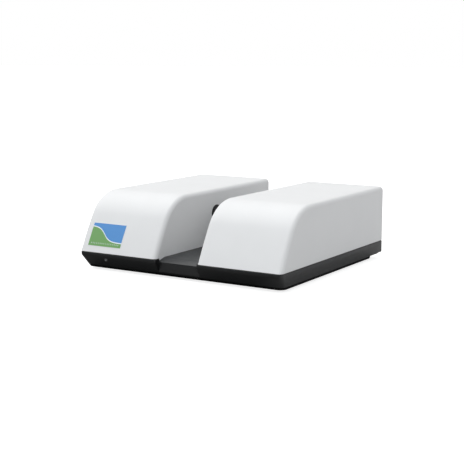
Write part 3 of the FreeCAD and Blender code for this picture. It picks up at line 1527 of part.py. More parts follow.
def build():
    base_tray()
    bottom_pan()
    rubber_feet()
    base_screws()
    optical_bench()
    pod_cover("left_cover", left, gap_left, (gap_left - d.cover_wall, gap_left))
    pod_cover("right_cover", gap_right, right, (gap_right, gap_right + d.cover_wall))
    left_rear_panel()
    right_rear_panel()
    panel_screws()
    sample_deck()
    front_label()
    power_indicator()
    for label, wall_x, outwards in (("left", gap_left, 1), ("right", gap_right, -1)):
        beam_port(f"{label}_beam_port", wall_x, outwards)
        window(f"{label}_window", wall_x, outwards)
    holder_base()
    holder_column()
    cell_holder()
    cell_plunger()
    holder_knob("left_knob", -1)
    holder_knob("right_knob", 1)
    fan_frame()
    fan_rotor()
    fan_guard()
    power_inlet()
    inlet_pins()
    fuse_drawer()
    rocker_frame()
    power_rocker()
    usb_port()
    lamp_house()
    lamp_house_lid()
    lamps()
    lens("condenser_lens", (PARTITION[0] + PARTITION[1]) / 2, CONDENSER_RADIUS)
    lens("source_lens", LENS_X, LENS_RADIUS)
    source_lens_mount()
    filter_wheel()
    calibration_filters()
    wheel_motor()
    shutter_blade()
    shutter_solenoid()
    boards()
    polychromator_housing()
    polychromator_lid()
    polychromator_posts()
    entrance_slit()
    lens("receiver_lens", SNOUT_X + 8, LENS_RADIUS)
    grating()
    grating_mount()
    detector()


build()
doc.recompute()

# Every object has to be sound before anything is written
for thing in doc.Objects:
    if "Invalid" in thing.State or "Error" in thing.State:
        raise RuntimeError(f"{thing.Label}: {thing.State}")
for thing in nodes:
    if thing.Shape.isNull() or not thing.Shape.isValid():
        raise RuntimeError(f"{thing.Label}: bad shape")
for thing in nodes:
    thing.Shape.exportStep(f"parts/{thing.Label}.step")
print(len(nodes), "sub-parts written")
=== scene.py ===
import json
import math

import bmesh
import bpy
from mathutils import Matrix, Vector

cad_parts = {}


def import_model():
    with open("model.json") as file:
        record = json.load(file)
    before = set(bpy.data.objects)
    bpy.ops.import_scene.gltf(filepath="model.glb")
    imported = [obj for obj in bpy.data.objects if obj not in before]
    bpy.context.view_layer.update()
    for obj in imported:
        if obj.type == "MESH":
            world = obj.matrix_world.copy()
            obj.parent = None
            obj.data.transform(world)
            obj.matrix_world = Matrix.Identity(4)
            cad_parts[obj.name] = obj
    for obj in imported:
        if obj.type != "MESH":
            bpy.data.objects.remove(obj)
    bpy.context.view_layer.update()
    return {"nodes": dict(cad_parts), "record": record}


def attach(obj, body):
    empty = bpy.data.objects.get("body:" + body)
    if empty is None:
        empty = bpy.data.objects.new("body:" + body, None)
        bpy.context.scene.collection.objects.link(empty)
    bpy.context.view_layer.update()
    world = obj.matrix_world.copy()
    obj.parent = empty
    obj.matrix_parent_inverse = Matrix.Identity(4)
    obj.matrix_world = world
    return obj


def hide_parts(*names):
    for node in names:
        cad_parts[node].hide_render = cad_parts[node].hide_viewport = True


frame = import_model()
nodes = frame["nodes"]

# Sizes and places are in mm unless a name says otherwise, and MM turns them into metres

MM = 0.001
CHASSIS = "chassis"


def in_scene(name, data):
    """A new object with this mesh, light or camera, linked to the scene."""
    thing = bpy.data.objects.new(name, data)
    bpy.context.scene.collection.objects.link(thing)
    return thing


# Camera, at the photograph's viewing angle

AZIMUTH = math.radians(31.81)
PITCH = math.radians(9.34)
CAMERA_PLACE = Vector((1228.0, -1993.1, 452.8)) * MM
LENS = 82.44
SENSOR = 36
FARTHEST_METRES = 200


def place_camera():
    """The camera that was fitted to the straight edges in the photo."""
    level = math.cos(PITCH)
    forward = Vector((-math.sin(AZIMUTH) * level, math.cos(AZIMUTH) * level, -math.sin(PITCH)))
    data = bpy.data.cameras.new("camera")
    data.sensor_width = SENSOR
    data.lens = LENS
    data.clip_end = FARTHEST_METRES
    camera = in_scene("camera", data)
    camera.location = CAMERA_PLACE
    camera.rotation_euler = forward.to_track_quat("-Z", "Y").to_euler()
    bpy.context.scene.camera = camera


place_camera()


# Shader building


class Shader:
    """A node tree being built, with short calls for the nodes it needs."""

    def __init__(self, name):
        self.material = bpy.data.materials.new(name)
        self.material.use_nodes = True
        self.tree = self.material.node_tree
        self.bsdf = self.tree.nodes["Principled BSDF"]
        self.place = self.add("ShaderNodeTexCoord").outputs["Object"]

    def add(self, kind, **settings):
        """A new node with these settings."""
        made = self.tree.nodes.new(kind)
        for key, value in settings.items():
            setattr(made, key, value)
        return made

    def link(self, source, target):
        """Feeds an input from a node's output, or sets it to a plain value."""
        if hasattr(source, "is_output"):
            self.tree.links.new(source, target)
        else:
            target.default_value = source

    def axes(self):
        """The object place's three parts, as outputs named X, Y and Z."""
        parts = self.add("ShaderNodeSeparateXYZ")
        self.link(self.place, parts.inputs[0])
        return parts.outputs

    def math(self, operation, *values):
        """The result of one sum on values or outputs."""
        made = self.add("ShaderNodeMath", operation=operation)
        for value, socket in zip(values, made.inputs):
            self.link(value, socket)
        return made.outputs[0]

    def noise(self, scale, detail=3.0, rough=0.5, place=None):
        """Soft noise with this many features to the metre."""
        made = self.add("ShaderNodeTexNoise")
        made.inputs["Scale"].default_value = scale
        made.inputs["Detail"].default_value = detail
        made.inputs["Roughness"].default_value = rough
        self.link(place or self.place, made.inputs["Vector"])
        return made.outputs["Fac"]

    def stretched(self, x, y, z):
        """The object place scaled along each axis, for brushed marks."""
        made = self.add("ShaderNodeMapping")
        self.link(self.place, made.inputs["Vector"])
        made.inputs["Scale"].default_value = (x, y, z)
        return made.outputs["Vector"]

    def ramp(self, value, low, high, start=0.0, end=1.0):
        """A value that goes from low to high while the input goes from start to end."""
        made = self.add("ShaderNodeMapRange", clamp=True)
        self.link(value, made.inputs["Value"])
        made.inputs["From Min"].default_value = start
        made.inputs["From Max"].default_value = end
        made.inputs["To Min"].default_value = low
        made.inputs["To Max"].default_value = high
        return made.outputs["Result"]

    def mix(self, factor, first, second):
        """A colour between two colours or colour outputs."""
        made = self.add("ShaderNodeMix", data_type="RGBA")
        self.link(factor, made.inputs["Factor"])
        for socket, colour in ((made.inputs[6], first), (made.inputs[7], second)):
            self.link(colour if hasattr(colour, "is_output") else (*colour, 1.0), socket)
        return made.outputs[2]

    def blend(self, first, second, share):
        """A share of the first value, and the rest of the second."""
        return self.math("ADD", self.math("MULTIPLY", first, share), self.math("MULTIPLY", second, 1 - share))

    def bump(self, height, distance):
        """Bends the surface's normals by a height of this many metres."""
        made = self.add("ShaderNodeBump")
        made.inputs["Distance"].default_value = distance
        made.inputs["Strength"].default_value = 1.0
        self.link(height, made.inputs["Height"])
        self.link(made.outputs["Normal"], self.bsdf.inputs["Normal"])


def linear(red, green, blue):
    """A colour written as 0 to 255 display values, turned into the linear values that a shader wants."""
    out = []
    for value in (red, green, blue):
        part = value / 255
        out.append(part / 12.92 if part <= 0.04045 else ((part + 0.055) / 1.055) ** 2.4)
    return tuple(out)


# Materials, one for each slot

MATERIALS = {}

# Most of a noise's values lie between these two
NOISE_LOW, NOISE_HIGH = 0.3, 0.7

DRIFT_SHARE = 0.7
WEAR_SHARE = 0.5
MARKS_PER_PATCH = 5
GLASS_INDEX = 1.46
GLASS_LIGHTER = 1.05
GLASS_SPREAD = 0.04
GLASS_MARKS_PER_PATCH = 8


def surface(name, colour, other, rough, grain, depth, metal=0.0, gloss=0.5, spread=0.06, patch=18.0,
            brushed=None):
    """A solid material: slow tone drift, fine grain in bump and roughness, faint handling marks."""
    shader = Shader(name)
    place = shader.stretched(*brushed) if brushed else None
    drift = shader.noise(patch, detail=2.0)
    fine = shader.noise(grain, detail=4.0, rough=0.6, place=place)
    tone = shader.ramp(shader.blend(drift, fine, DRIFT_SHARE), 0.0, 1.0, NOISE_LOW, NOISE_HIGH)
    shader.link(shader.mix(tone, colour, other), shader.bsdf.inputs["Base Color"])
    marks = shader.noise(patch * MARKS_PER_PATCH, detail=5.0, rough=0.65)
    wear = shader.blend(fine, marks, WEAR_SHARE)
    polish = shader.ramp(wear, rough - spread, rough + spread, NOISE_LOW, NOISE_HIGH)
    shader.link(polish, shader.bsdf.inputs["Roughness"])
    shader.bsdf.inputs["Metallic"].default_value = metal
    shader.bsdf.inputs["Specular IOR Level"].default_value = gloss
    shader.bump(fine, depth)
    MATERIALS[name] = shader.material


def glass(name, colour, rough, patch):
    """A clear material with a slight drift in tint and polish."""
    shader = Shader(name)
    lighter = tuple(min(1.0, part * GLASS_LIGHTER) for part in colour)
    drift = shader.noise(patch, detail=2.0)
    shader.link(shader.mix(drift, colour, lighter), shader.bsdf.inputs["Base Color"])
    polish = shader.ramp(shader.noise(patch * GLASS_MARKS_PER_PATCH), rough, rough + GLASS_SPREAD)
    shader.link(polish, shader.bsdf.inputs["Roughness"])
    shader.bsdf.inputs["Transmission Weight"].default_value = 1.0
    shader.bsdf.inputs["IOR"].default_value = GLASS_INDEX
    MATERIALS[name] = shader.material


surface("base_plastic", (0.0042, 0.0044, 0.0048), (0.0062, 0.0064, 0.0068),
        rough=0.38, grain=1700, depth=2e-5, gloss=0.7)
surface("pan_metal", (0.003, 0.003, 0.0033), (0.005, 0.005, 0.0053),
        rough=0.60, grain=2600, depth=2e-5, gloss=0.1)
surface("rubber", (0.012, 0.012, 0.012), (0.02, 0.02, 0.02),
        rough=0.8, grain=1500, depth=4e-5, gloss=0.3)
surface("zinc_steel", (0.50, 0.51, 0.53), (0.62, 0.63, 0.64),
        rough=0.32, grain=900, depth=6e-6, metal=1.0, brushed=(1, 1, 6))
surface("bench_plate", (0.55, 0.56, 0.58), (0.66, 0.67, 0.68),
        rough=0.35, grain=700, depth=8e-6, metal=1.0, brushed=(8, 1, 1))
surface("pod_plastic", (0.806, 0.810, 0.813), (0.824, 0.828, 0.831),
        rough=0.52, grain=1500, depth=8e-6, spread=0.04, gloss=0.28)
surface("panel_paint", (0.62, 0.63, 0.64), (0.66, 0.67, 0.68),
        rough=0.5, grain=2200, depth=2.5e-5)
surface("deck_plastic", (0.041, 0.043, 0.045), (0.049, 0.051, 0.053),
        rough=0.47, grain=1900, depth=3e-5, gloss=0.36)
surface("indicator_lens", (0.085, 0.086, 0.087), (0.105, 0.106, 0.108),
        rough=0.32, grain=600, depth=4e-6)
surface("bezel_black", (0.004, 0.004, 0.0045), (0.007, 0.007, 0.0075),
        rough=0.45, grain=1800, depth=2e-5, gloss=0.35)
surface("anodised_black", (0.018, 0.018, 0.020), (0.026, 0.026, 0.028),
        rough=0.38, grain=2400, depth=1.2e-5, metal=0.6)
surface("knob_plastic", (0.012, 0.012, 0.013), (0.02, 0.02, 0.021),
        rough=0.4, grain=1600, depth=2e-5)
surface("fan_plastic", (0.012, 0.012, 0.013), (0.02, 0.02, 0.021),
        rough=0.42, grain=1400, depth=2e-5)
surface("inlet_plastic", (0.010, 0.010, 0.011), (0.018, 0.018, 0.019),
        rough=0.35, grain=1800, depth=1.5e-5)
surface("brass_pins", (0.70, 0.52, 0.24), (0.78, 0.62, 0.34),
        rough=0.25, grain=900, depth=5e-6, metal=1.0, brushed=(1, 5, 1))
surface("cast_alloy", (0.40, 0.41, 0.42), (0.50, 0.51, 0.52),
        rough=0.5, grain=1100, depth=6e-5, metal=0.9)
surface("ceramic", (0.72, 0.70, 0.65), (0.80, 0.78, 0.74),
        rough=0.4, grain=1300, depth=1.5e-5)
surface("motor_steel", (0.32, 0.33, 0.34), (0.42, 0.43, 0.44),
        rough=0.38, grain=800, depth=1e-5, metal=1.0, brushed=(6, 1, 1))
surface("board_green", (0.015, 0.10, 0.045), (0.025, 0.14, 0.06),
        rough=0.35, grain=700, depth=2e-5)
surface("core_steel", (0.10, 0.085, 0.075), (0.16, 0.14, 0.12),
        rough=0.55, grain=900, depth=3e-5)
surface("grating_face", (0.80, 0.82, 0.84), (0.88, 0.89, 0.90),
        rough=0.12, grain=3000, depth=4e-6, metal=1.0, brushed=(1, 40, 1))
surface("chip_plastic", (0.012, 0.012, 0.014), (0.02, 0.02, 0.022),
        rough=0.4, grain=1500, depth=1e-5)
glass("quartz", (0.93, 0.96, 0.97), rough=0.03, patch=60)
glass("lamp_glass", (0.95, 0.96, 0.97), rough=0.04, patch=50)
glass("filter_glass", (0.75, 0.60, 0.35), rough=0.05, patch=80)


# Label print: a generic blue and green field with a plain curve and scale marks

LABEL_LEFT, LABEL_WIDTH = -231.0, 86.0
LABEL_FOOT, LABEL_HEIGHT = 54.3, 45.2
LABEL_BLUE = linear(70, 143, 212)
LABEL_GREEN = linear(108, 163, 88)
LABEL_WHITE = linear(236, 242, 246)
LABEL_SCUFF = linear(225, 230, 235)
LABEL_SCUFF_SHARE = 0.06
LABEL_GRAIN = 2500
LABEL_SMOOTH, LABEL_ROUGH = 0.38, 0.5
LABEL_BUMP_METRES = 4e-6

# Shares of the label's width or height
CURVE_MIDDLE = 0.42
CURVE_TOP = 0.86
CURVE_FALL = 0.66
CURVE_STEEPNESS = 10.0
CURVE_BASE = 2.718
CURVE_HALF_WIDTH = 0.022
MARK_COUNT = 18.0
MARK_HALF_WIDTH = 0.09
MARK_FOOT, MARK_HEAD = 0.085, 0.15
MARK_REACH = 0.44


def label_print():
    """The printed face: green under a falling curve, blue over it, white curve and scale marks."""
    shader = Shader("label_print")
    place = shader.axes()
    left, foot = LABEL_LEFT * MM, LABEL_FOOT * MM
    across = shader.ramp(place["X"], 0, 1, left, left + LABEL_WIDTH * MM)
    up = shader.ramp(place["Z"], 0, 1, foot, foot + LABEL_HEIGHT * MM)
    # The boundary between the fields falls in one smooth step
    along = shader.math("MULTIPLY", shader.math("SUBTRACT", across, CURVE_MIDDLE), -CURVE_STEEPNESS)
    growth = shader.math("POWER", CURVE_BASE, along)
    fall = shader.math("DIVIDE", CURVE_FALL, shader.math("ADD", growth, 1.0))
    above = shader.math("SUBTRACT", up, shader.math("SUBTRACT", CURVE_TOP, fall))
    field = shader.mix(shader.math("GREATER_THAN", above, 0.0), LABEL_GREEN, LABEL_BLUE)
    curve = shader.math("LESS_THAN", shader.math("ABSOLUTE", above), CURVE_HALF_WIDTH)
    # Scale marks along the foot
    part = shader.math("FRACT", shader.math("MULTIPLY", across, MARK_COUNT))
    off_mark = shader.math("ABSOLUTE", shader.math("SUBTRACT", part, 0.5))
    mark = shader.math("LESS_THAN", off_mark, MARK_HALF_WIDTH)
    off_middle = shader.math("ABSOLUTE", shader.math("SUBTRACT", across, 0.5))
    mark = shader.math("MULTIPLY", mark, shader.math("LESS_THAN", off_middle, MARK_REACH))
    mark = shader.math("MULTIPLY", mark, shader.math("GREATER_THAN", up, MARK_FOOT))
    mark = shader.math("MULTIPLY", mark, shader.math("LESS_THAN", up, MARK_HEAD))
    printed = shader.mix(shader.math("MAXIMUM", curve, mark), field, LABEL_WHITE)
    grain = shader.noise(LABEL_GRAIN)
    scuffed = shader.mix(shader.ramp(grain, 0.0, LABEL_SCUFF_SHARE), printed, LABEL_SCUFF)
    shader.link(scuffed, shader.bsdf.inputs["Base Color"])
    shader.link(shader.ramp(grain, LABEL_SMOOTH, LABEL_ROUGH), shader.bsdf.inputs["Roughness"])
    shader.bump(grain, LABEL_BUMP_METRES)
    MATERIALS["label_print"] = shader.material


label_print()


# Each CAD node takes the material of its slot

SLOT_OF = {entry["node"]: entry["material_slot"] for entry in frame["record"]["subparts"]}
for name, thing in nodes.items():
    thing.data.materials.clear()
    thing.data.materials.append(MATERIALS[SLOT_OF[name]])


# Pieces and the shapes that they are made from

FLAT = math.radians(0.5)
SOFTENED_ABOVE = math.radians(30.0)
WELD_METRES = 2e-6
SAME_PLACE_METRES = 1e-7
SHORTEST_RUN = 0.05
ARC_SHARE = 0.45
BAR_ROUND = 0.5
BAR_ROUND_STEPS = 3
AXIS_TURN = {
    "x": Matrix.Rotation(math.radians(90), 4, "Y"),
    "-x": Matrix.Rotation(math.radians(-90), 4, "Y"),
    "y": Matrix.Rotation(math.radians(-90), 4, "X"),
    "z": Matrix.Identity(4),
}


def add_piece(name, mesh, slot, stands_for, body=CHASSIS):
    """Puts a mesh in the scene, on a body, with the finish of one material slot."""
    thing = in_scene(name, mesh)
    mesh.materials.clear()
    mesh.materials.append(MATERIALS[slot])
    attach(thing, body)
    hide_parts(stands_for)
    return thing


def mesh_of(form, name):
    """A bmesh as a mesh, with outward faces."""
    bmesh.ops.recalc_face_normals(form, faces=form.faces)
    mesh = bpy.data.meshes.new(name)
    form.to_mesh(mesh)
    form.free()
    return mesh


def joined(parts, name):
    """Several bmeshes as one mesh."""
    whole = bmesh.new()
    for part in parts:
        mesh = mesh_of(part, "part")
        whole.from_mesh(mesh)
        bpy.data.meshes.remove(mesh)
    return mesh_of(whole, name)


def shade(thing, sharp=35.0):
    """Smooth shading but for the edges that are sharper than this many degrees."""
    mesh = thing.data
    mesh.polygons.foreach_set("use_smooth", [True] * len(mesh.polygons))
    mesh.set_sharp_from_angle(angle=math.radians(sharp))


def settle(thing):
    """Gives a piece the mesh that its modifiers make."""
    bpy.context.view_layer.update()
    graph = bpy.context.evaluated_depsgraph_get()
    mesh = bpy.data.meshes.new_from_object(thing.evaluated_get(graph))
    thing.modifiers.clear()
    thing.data = mesh
    shade(thing, sharp=32.0)


def cut_with(thing, *forms):
    """Cuts solids away from a piece."""
    tools = [in_scene("tool", mesh_of(form, "tool")) for form in forms]
    for tool in tools:
        bite = thing.modifiers.new("bite", "BOOLEAN")
        bite.operation = "DIFFERENCE"
        bite.solver = "EXACT"
        bite.object = tool
    settle(thing)
    for tool in tools:
        bpy.data.objects.remove(tool)


def dressed(node, width, body=CHASSIS, segments=2):
    """A copy of a plain CAD form with merged flats and softened edges."""
    form = bmesh.new()
    form.from_mesh(nodes[node].data)
    bmesh.ops.remove_doubles(form, verts=form.verts, dist=WELD_METRES)
    bmesh.ops.dissolve_limit(form, angle_limit=FLAT, verts=form.verts, edges=form.edges)
    thing = add_piece(node + "_form", mesh_of(form, node), SLOT_OF[node], node, body)
    rounding = thing.modifiers.new("edges", "BEVEL")
    rounding.width = width * MM
    rounding.segments = segments
    rounding.limit_method = "ANGLE"
    rounding.angle_limit = SOFTENED_ABOVE
    settle(thing)


def rounded_outline(corners):
    """A closed outline through (x, y, radius, steps) corners, each one turned into an arc."""
    points = []
    places = [Vector(corner[:2]) for corner in corners]
    for index, corner in enumerate(corners):
        radius, steps = corner[2:]
        here = places[index]
        before = places[index - 1] - here
        after = places[(index + 1) % len(places)] - here
        shortest = min(before.length, after.length)
        if radius == 0 or shortest < SHORTEST_RUN:
            points += [tuple(here)] * (steps + 1)
            continue
        half = before.angle(after) / 2
        radius = min(radius, ARC_SHARE * shortest * math.tan(half))
        centre = here + (before.normalized() + after.normalized()).normalized() * (radius / math.sin(half))
        first = here + before.normalized() * (radius / math.tan(half)) - centre
        last = here + after.normalized() * (radius / math.tan(half)) - centre
        sweep = first.angle_signed(last)
        for step in range(steps + 1):
            points.append(tuple(centre + Matrix.Rotation(-sweep * step / steps, 2) @ first))
    return points


def skin(form, rings, closed=True):
    """Faces between successive rings of vertices, or between rows where they aren't closed."""
    count = len(rings[0])
    for lower, upper in zip(rings, rings[1:]):
        for step in range(count if closed else count - 1):
            other = (step + 1) % count
            unique = []
            for corner in (lower[step], lower[other], upper[other], upper[step]):
                if corner not in unique:
                    unique.append(corner)
            if len(unique) > 2:
                form.faces.new(unique)


def solid_skin(form, rings):
    """Faces between successive rings, with the first and the last ring closed off."""
    skin(form, rings)
    form.faces.new(list(reversed(rings[0])))
    form.faces.new(rings[-1])


def prism(form, plan, low, high):
    """An upright prism on a plan, between two levels."""
    solid_skin(form, [[form.verts.new((x * MM, y * MM, z * MM)) for x, y in plan] for z in (low, high)])


def upright_bar(x, half_x, half_y, low, high):
    """A bar with rounded upright edges, on the line y = 0, between two levels."""
    form = bmesh.new()
    corners = [(x + half_x, -half_y), (x + half_x, half_y), (x - half_x, half_y), (x - half_x, -half_y)]
    prism(form, rounded_outline([(a, b, BAR_ROUND, BAR_ROUND_STEPS) for a, b in corners]), low, high)
    return form


def turned(profile, steps, centre, axis):
    """A solid of revolution from (distance along the axis, radius) pairs."""
    form = bmesh.new()
    place = Matrix.Translation(Vector(centre) * MM) @ AXIS_TURN[axis]
    rings = []
    for along, radius in profile:
        ring = []
        for step in range(steps):
            angle = 2 * math.pi * step / steps
            spot = Vector((radius * math.cos(angle), radius * math.sin(angle), along)) * MM
            ring.append(form.verts.new(place @ spot))
        rings.append(ring)
    if profile[0] == profile[-1]:
        skin(form, rings)
        bmesh.ops.remove_doubles(form, verts=form.verts, dist=SAME_PLACE_METRES)
    else:
        solid_skin(form, rings)
    return form


# Pod covers: a bowed face that leans back, a brow tangent to it, and a flat roof

HALF_WIDTH = 250.0
FRONT, BACK = -236.0, 236.0
GAP_LEFT, GAP_RIGHT = -49.0, 53.0
JUNCTION = 41.0
FACE_RADIUS = 936.0
FACE_LEAN = math.radians(26.04)
BROW_RADIUS = 95.0
BROW_LEAN = math.radians(31.44)
FACE_RISE = FACE_RADIUS * (math.sin(BROW_LEAN) - math.sin(FACE_LEAN))
ROOF = JUNCTION + FACE_RISE + BROW_RADIUS * (1 - math.sin(BROW_LEAN))
FACE_Y = FRONT + FACE_RADIUS * math.cos(FACE_LEAN)
FACE_Z = JUNCTION - FACE_RADIUS * math.sin(FACE_LEAN)
BROW_Y = FACE_Y - (FACE_RADIUS - BROW_RADIUS) * math.cos(BROW_LEAN)
EDGE = 9.5
REAR_ROUND = 2.5
COVER_WALL = 2.9
TONGUE_FRONT = -220.0
TONGUE_FOOT = 37.2

# A row of points close under the rolled edge keeps the wall flat, where the wall is high enough for one
SUPPORT_DROP = 1.2
LEAST_HANG = 1.3

FACE_STEPS = 26
BROW_STEPS = 22
ROOF_STEPS = 14
ACROSS_STEPS = 8
LIP_STEPS = 4
BEAM_HEIGHT = 109
PORT_RADIUS = 15.5
PORT_DRILL = 6


def side_line(inset):
    """Side view of a pod at an inset from its skin: points as (y, z) from the foot to the back."""
    radius = FACE_RADIUS - inset
    reach = BROW_RADIUS - inset
    start = math.asin((JUNCTION - FACE_Z) / radius)
    points = []
    for step in range(FACE_STEPS):
        angle = start + (BROW_LEAN - start) * step / FACE_STEPS
        points.append((FACE_Y - radius * math.cos(angle), FACE_Z + radius * math.sin(angle)))
    for step in range(BROW_STEPS):
        angle = BROW_LEAN + (math.pi / 2 - BROW_LEAN) * step / BROW_STEPS
        points.append((BROW_Y - reach * math.cos(angle), ROOF - BROW_RADIUS + reach * math.sin(angle)))
    for step in range(ROOF_STEPS + 1):
        points.append((BROW_Y + (BACK - REAR_ROUND - BROW_Y) * step / ROOF_STEPS, ROOF - inset))
    return points


def cross_line(left, right):
    """Front view of a pod's skin: (x, inset) pairs from one flat wall over to the other."""
    turns = [math.radians(90 * step / ACROSS_STEPS) for step in range(ACROSS_STEPS + 1)]
    roll = [(EDGE * (1 - math.cos(turn)), EDGE * (1 - math.sin(turn))) for turn in turns]
    line = [(left + across, inset) for across, inset in roll]
    for step in range(1, ACROSS_STEPS):
        line.append((left + EDGE + (right - left - 2 * EDGE) * step / ACROSS_STEPS, 0.0))
    return line + [(right - across, inset) for across, inset in reversed(roll)]


def hung_wall(form, edge, x, has_tongue):
    """The flat wall under one edge of a pod, as a row at its foot and a row close under the rolled edge."""
    foot, support = [edge[0]], [edge[0]]
    for vert in edge[1:]:
        y = vert.co.y
        z = vert.co.z / MM
        hangs = z - JUNCTION > LEAST_HANG
        if hangs:
            support.append(form.verts.new((x * MM, y, (z - SUPPORT_DROP) * MM)))
        low = TONGUE_FOOT if has_tongue and y > TONGUE_FRONT * MM else JUNCTION
        foot.append(form.verts.new((x * MM, y, low * MM)))
        if not hangs:
            support.append(foot[-1])
    return foot, support


def rear_lip(form, ends, left, right):
    """Rows that carry the rear ends of the skin round the small radius at the back."""
    middle = (left + right) / 2 * MM
    half = (right - left) / 2 * MM
    lips = []
    for step in range(1, LIP_STEPS + 1):
        turn = math.radians(90 * step / LIP_STEPS)
        inset = REAR_ROUND * (1 - math.cos(turn)) * MM
        y = (BACK - REAR_ROUND + REAR_ROUND * math.sin(turn)) * MM
        lip = []
        for end in ends:
            x = middle + (end.x - middle) * (half - inset) / half
            share = max(0.0, (end.z - (ROOF - EDGE) * MM) / (EDGE * MM))
            lip.append(form.verts.new((x, y, end.z - inset * share)))
        lips.append(lip)
    return lips


def pod_cover(name, left, right, node, port_wall):
    """Moulded cover: swept front and roof with rolled edges, flat walls, a rounded rear lip, a beam port."""
    form = bmesh.new()
    rows = []
    for x, inset in cross_line(left, right):
        rows.append([form.verts.new((x * MM, y * MM, z * MM)) for y, z in side_line(inset)])
    left_foot, left_support = hung_wall(form, rows[0], left, left == port_wall)
    right_foot, right_support = hung_wall(form, rows[-1], right, right == port_wall)
    rows = [left_foot, left_support] + rows + [right_support, right_foot]
    ends = [row[-1] for row in rows]
    lips = rear_lip(form, [end.co.copy() for end in ends], left, right)
    skin(form, rows, closed=False)
    skin(form, [ends] + lips, closed=False)
    bmesh.ops.remove_doubles(form, verts=form.verts, dist=SAME_PLACE_METRES)
    thing = add_piece(name, mesh_of(form, name), "pod_plastic", node)
    wall = thing.modifiers.new("wall", "SOLIDIFY")
    wall.thickness = COVER_WALL * MM
    wall.offset = -1
    wall.use_even_offset = True
    wall.use_quality_normals = True
    settle(thing)
    drill = [(-PORT_DRILL, PORT_RADIUS), (PORT_DRILL, PORT_RADIUS)]
    cut_with(thing, turned(drill, steps=48, centre=(port_wall, 0, BEAM_HEIGHT), axis="x"))


pod_cover("left_cover_shell", -HALF_WIDTH, GAP_LEFT, "left_cover", GAP_LEFT)
pod_cover("right_cover_shell", GAP_RIGHT, HALF_WIDTH, "right_cover", GAP_RIGHT)


# Base: the tray's levels, how far its walls slope in, and its front in the sample gap

RIM = 32.5
PAN_TOP = 10.5
PAN_BOTTOM = 6.0
BLOCK_BOTTOM = 14.0
FRONT_UNDERCUT = 18.0
SIDE_UNDERCUT = 6.5
APRON_RECESS = 13.0
APRON_FOOT = 33.0
WALL = 3.0
CORNER_ROUND = 10
CORNER_GROWTH = 4
CORNER_STEPS = 12
REAR_STEPS = 8
GAP_ROUND = 1.2
GAP_STEPS = 3

# Where the sides turn upright towards the back, from start to end
BLOCK_BLEND = (150.0, 212.0)
BLEND_STEPS = 10

# (level, inset) pairs up the tray's upright face: a soft crease at the rim, a shadow groove under the pods
GROOVE = 1.4
UPRIGHT_FACE = (
    (RIM - 1.2, 0.0), (RIM - 0.4, 0.03), (APRON_FOOT, 0.0), (JUNCTION - 1.8, 0.0),
    (JUNCTION - 1.5, 0.3), (JUNCTION - GROOVE, GROOVE), (JUNCTION, GROOVE),
)

# A ring is drawn in by a scale, and this is about how far the tray's walls are from its middle
WALL_DISTANCE = 240

LAMP_X, LAMP_Z = -181, 27
LAMP_HOLE_RADIUS = 4.2
LAMP_HOLE_REACH = 12
LAMP_HOLE_Y = -233


def undercut(z):
    """Share of the full undercut at a level: none on the rim, all of it at the pan's foot."""
    return max(0.0, (RIM - z) / (RIM - PAN_BOTTOM))


def tray_outline(z, wall, block):
    """Plan of the tray at a level: round corners, upright front in the gap, sides that blend into the block.

    Each point also says whether it is on the set-back wall, which ends lower down.
    """
    share = undercut(z)
    x = HALF_WIDTH - (SIDE_UNDERCUT * share + wall)
    y = FRONT + FRONT_UNDERCUT * share + wall
    recess = max(y, FRONT + APRON_RECESS + wall)
    bend = CORNER_ROUND + CORNER_GROWTH * share - wall
    rear_x = HALF_WIDTH - wall if block else x
    rear_bend = REAR_ROUND if block else bend
    left, right = GAP_LEFT - wall, GAP_RIGHT + wall
    start, end = BLOCK_BLEND
    side = [(x, y, bend, CORNER_STEPS)]
    for step in range(BLEND_STEPS + 1):
        along = step / BLEND_STEPS
        outward = (rear_x - x) * along * along * (3 - 2 * along)
        side.append((x + outward, start + (end - start) * along, 0, 0))
    side.append((rear_x, BACK - wall, rear_bend, REAR_STEPS))
    mirrored = [(-a, b, radius, steps) for a, b, radius, steps in reversed(side)]
    corners = [(right, y, GAP_ROUND, GAP_STEPS)] + side + mirrored + [(left, y, GAP_ROUND, GAP_STEPS)]
    corners += [(left, recess, 0, 0), (right, recess, 0, 0)]
    points = [(a, b, False) for a, b in rounded_outline(corners)]
    # The set-back wall has points of its own between the last two
    return points[:-1] + [(left, recess, True), (right, recess, True)] + points[-1:]


def tray_ring(form, z, wall=0.0, inset=0.0, block=True):
    """The tray's plan at a level as a ring, with the set-back wall kept below the apron's foot."""
    shrink = 1 - inset / WALL_DISTANCE
    ring = []
    for x, y, low in tray_outline(z, wall, block):
        height = min(z, APRON_FOOT) if low else z
        ring.append(form.verts.new((x * shrink * MM, y * shrink * MM, height * MM)))
    return ring


def base_shell():
    """Black tray: upright rim, walls that slope in below it, an upright rear block, a hollow inside."""
    form = bmesh.new()
    meeting = RIM - (RIM - PAN_BOTTOM) * APRON_RECESS / FRONT_UNDERCUT
    rings = [tray_ring(form, z, block=False) for z in (PAN_TOP, meeting, BLOCK_BOTTOM)]
    rings.append(tray_ring(form, BLOCK_BOTTOM))
    rings += [tray_ring(form, z, inset=inset) for z, inset in UPRIGHT_FACE]
    rings += [tray_ring(form, z, WALL) for z in (JUNCTION, APRON_FOOT, RIM, BLOCK_BOTTOM + WALL)]
    rings += [tray_ring(form, z, WALL, block=False) for z in (BLOCK_BOTTOM + WALL, PAN_TOP + WALL)]
    solid_skin(form, rings)
    bmesh.ops.remove_doubles(form, verts=form.verts, dist=WELD_METRES)
    thing = add_piece("base_shell", mesh_of(form, "base_shell"), "base_plastic", "base_tray")
    drill = [(-LAMP_HOLE_REACH, LAMP_HOLE_RADIUS), (LAMP_HOLE_REACH, LAMP_HOLE_RADIUS)]
    cut_with(thing, turned(drill, steps=32, centre=(LAMP_X, LAMP_HOLE_Y, LAMP_Z), axis="y"))


base_shell()


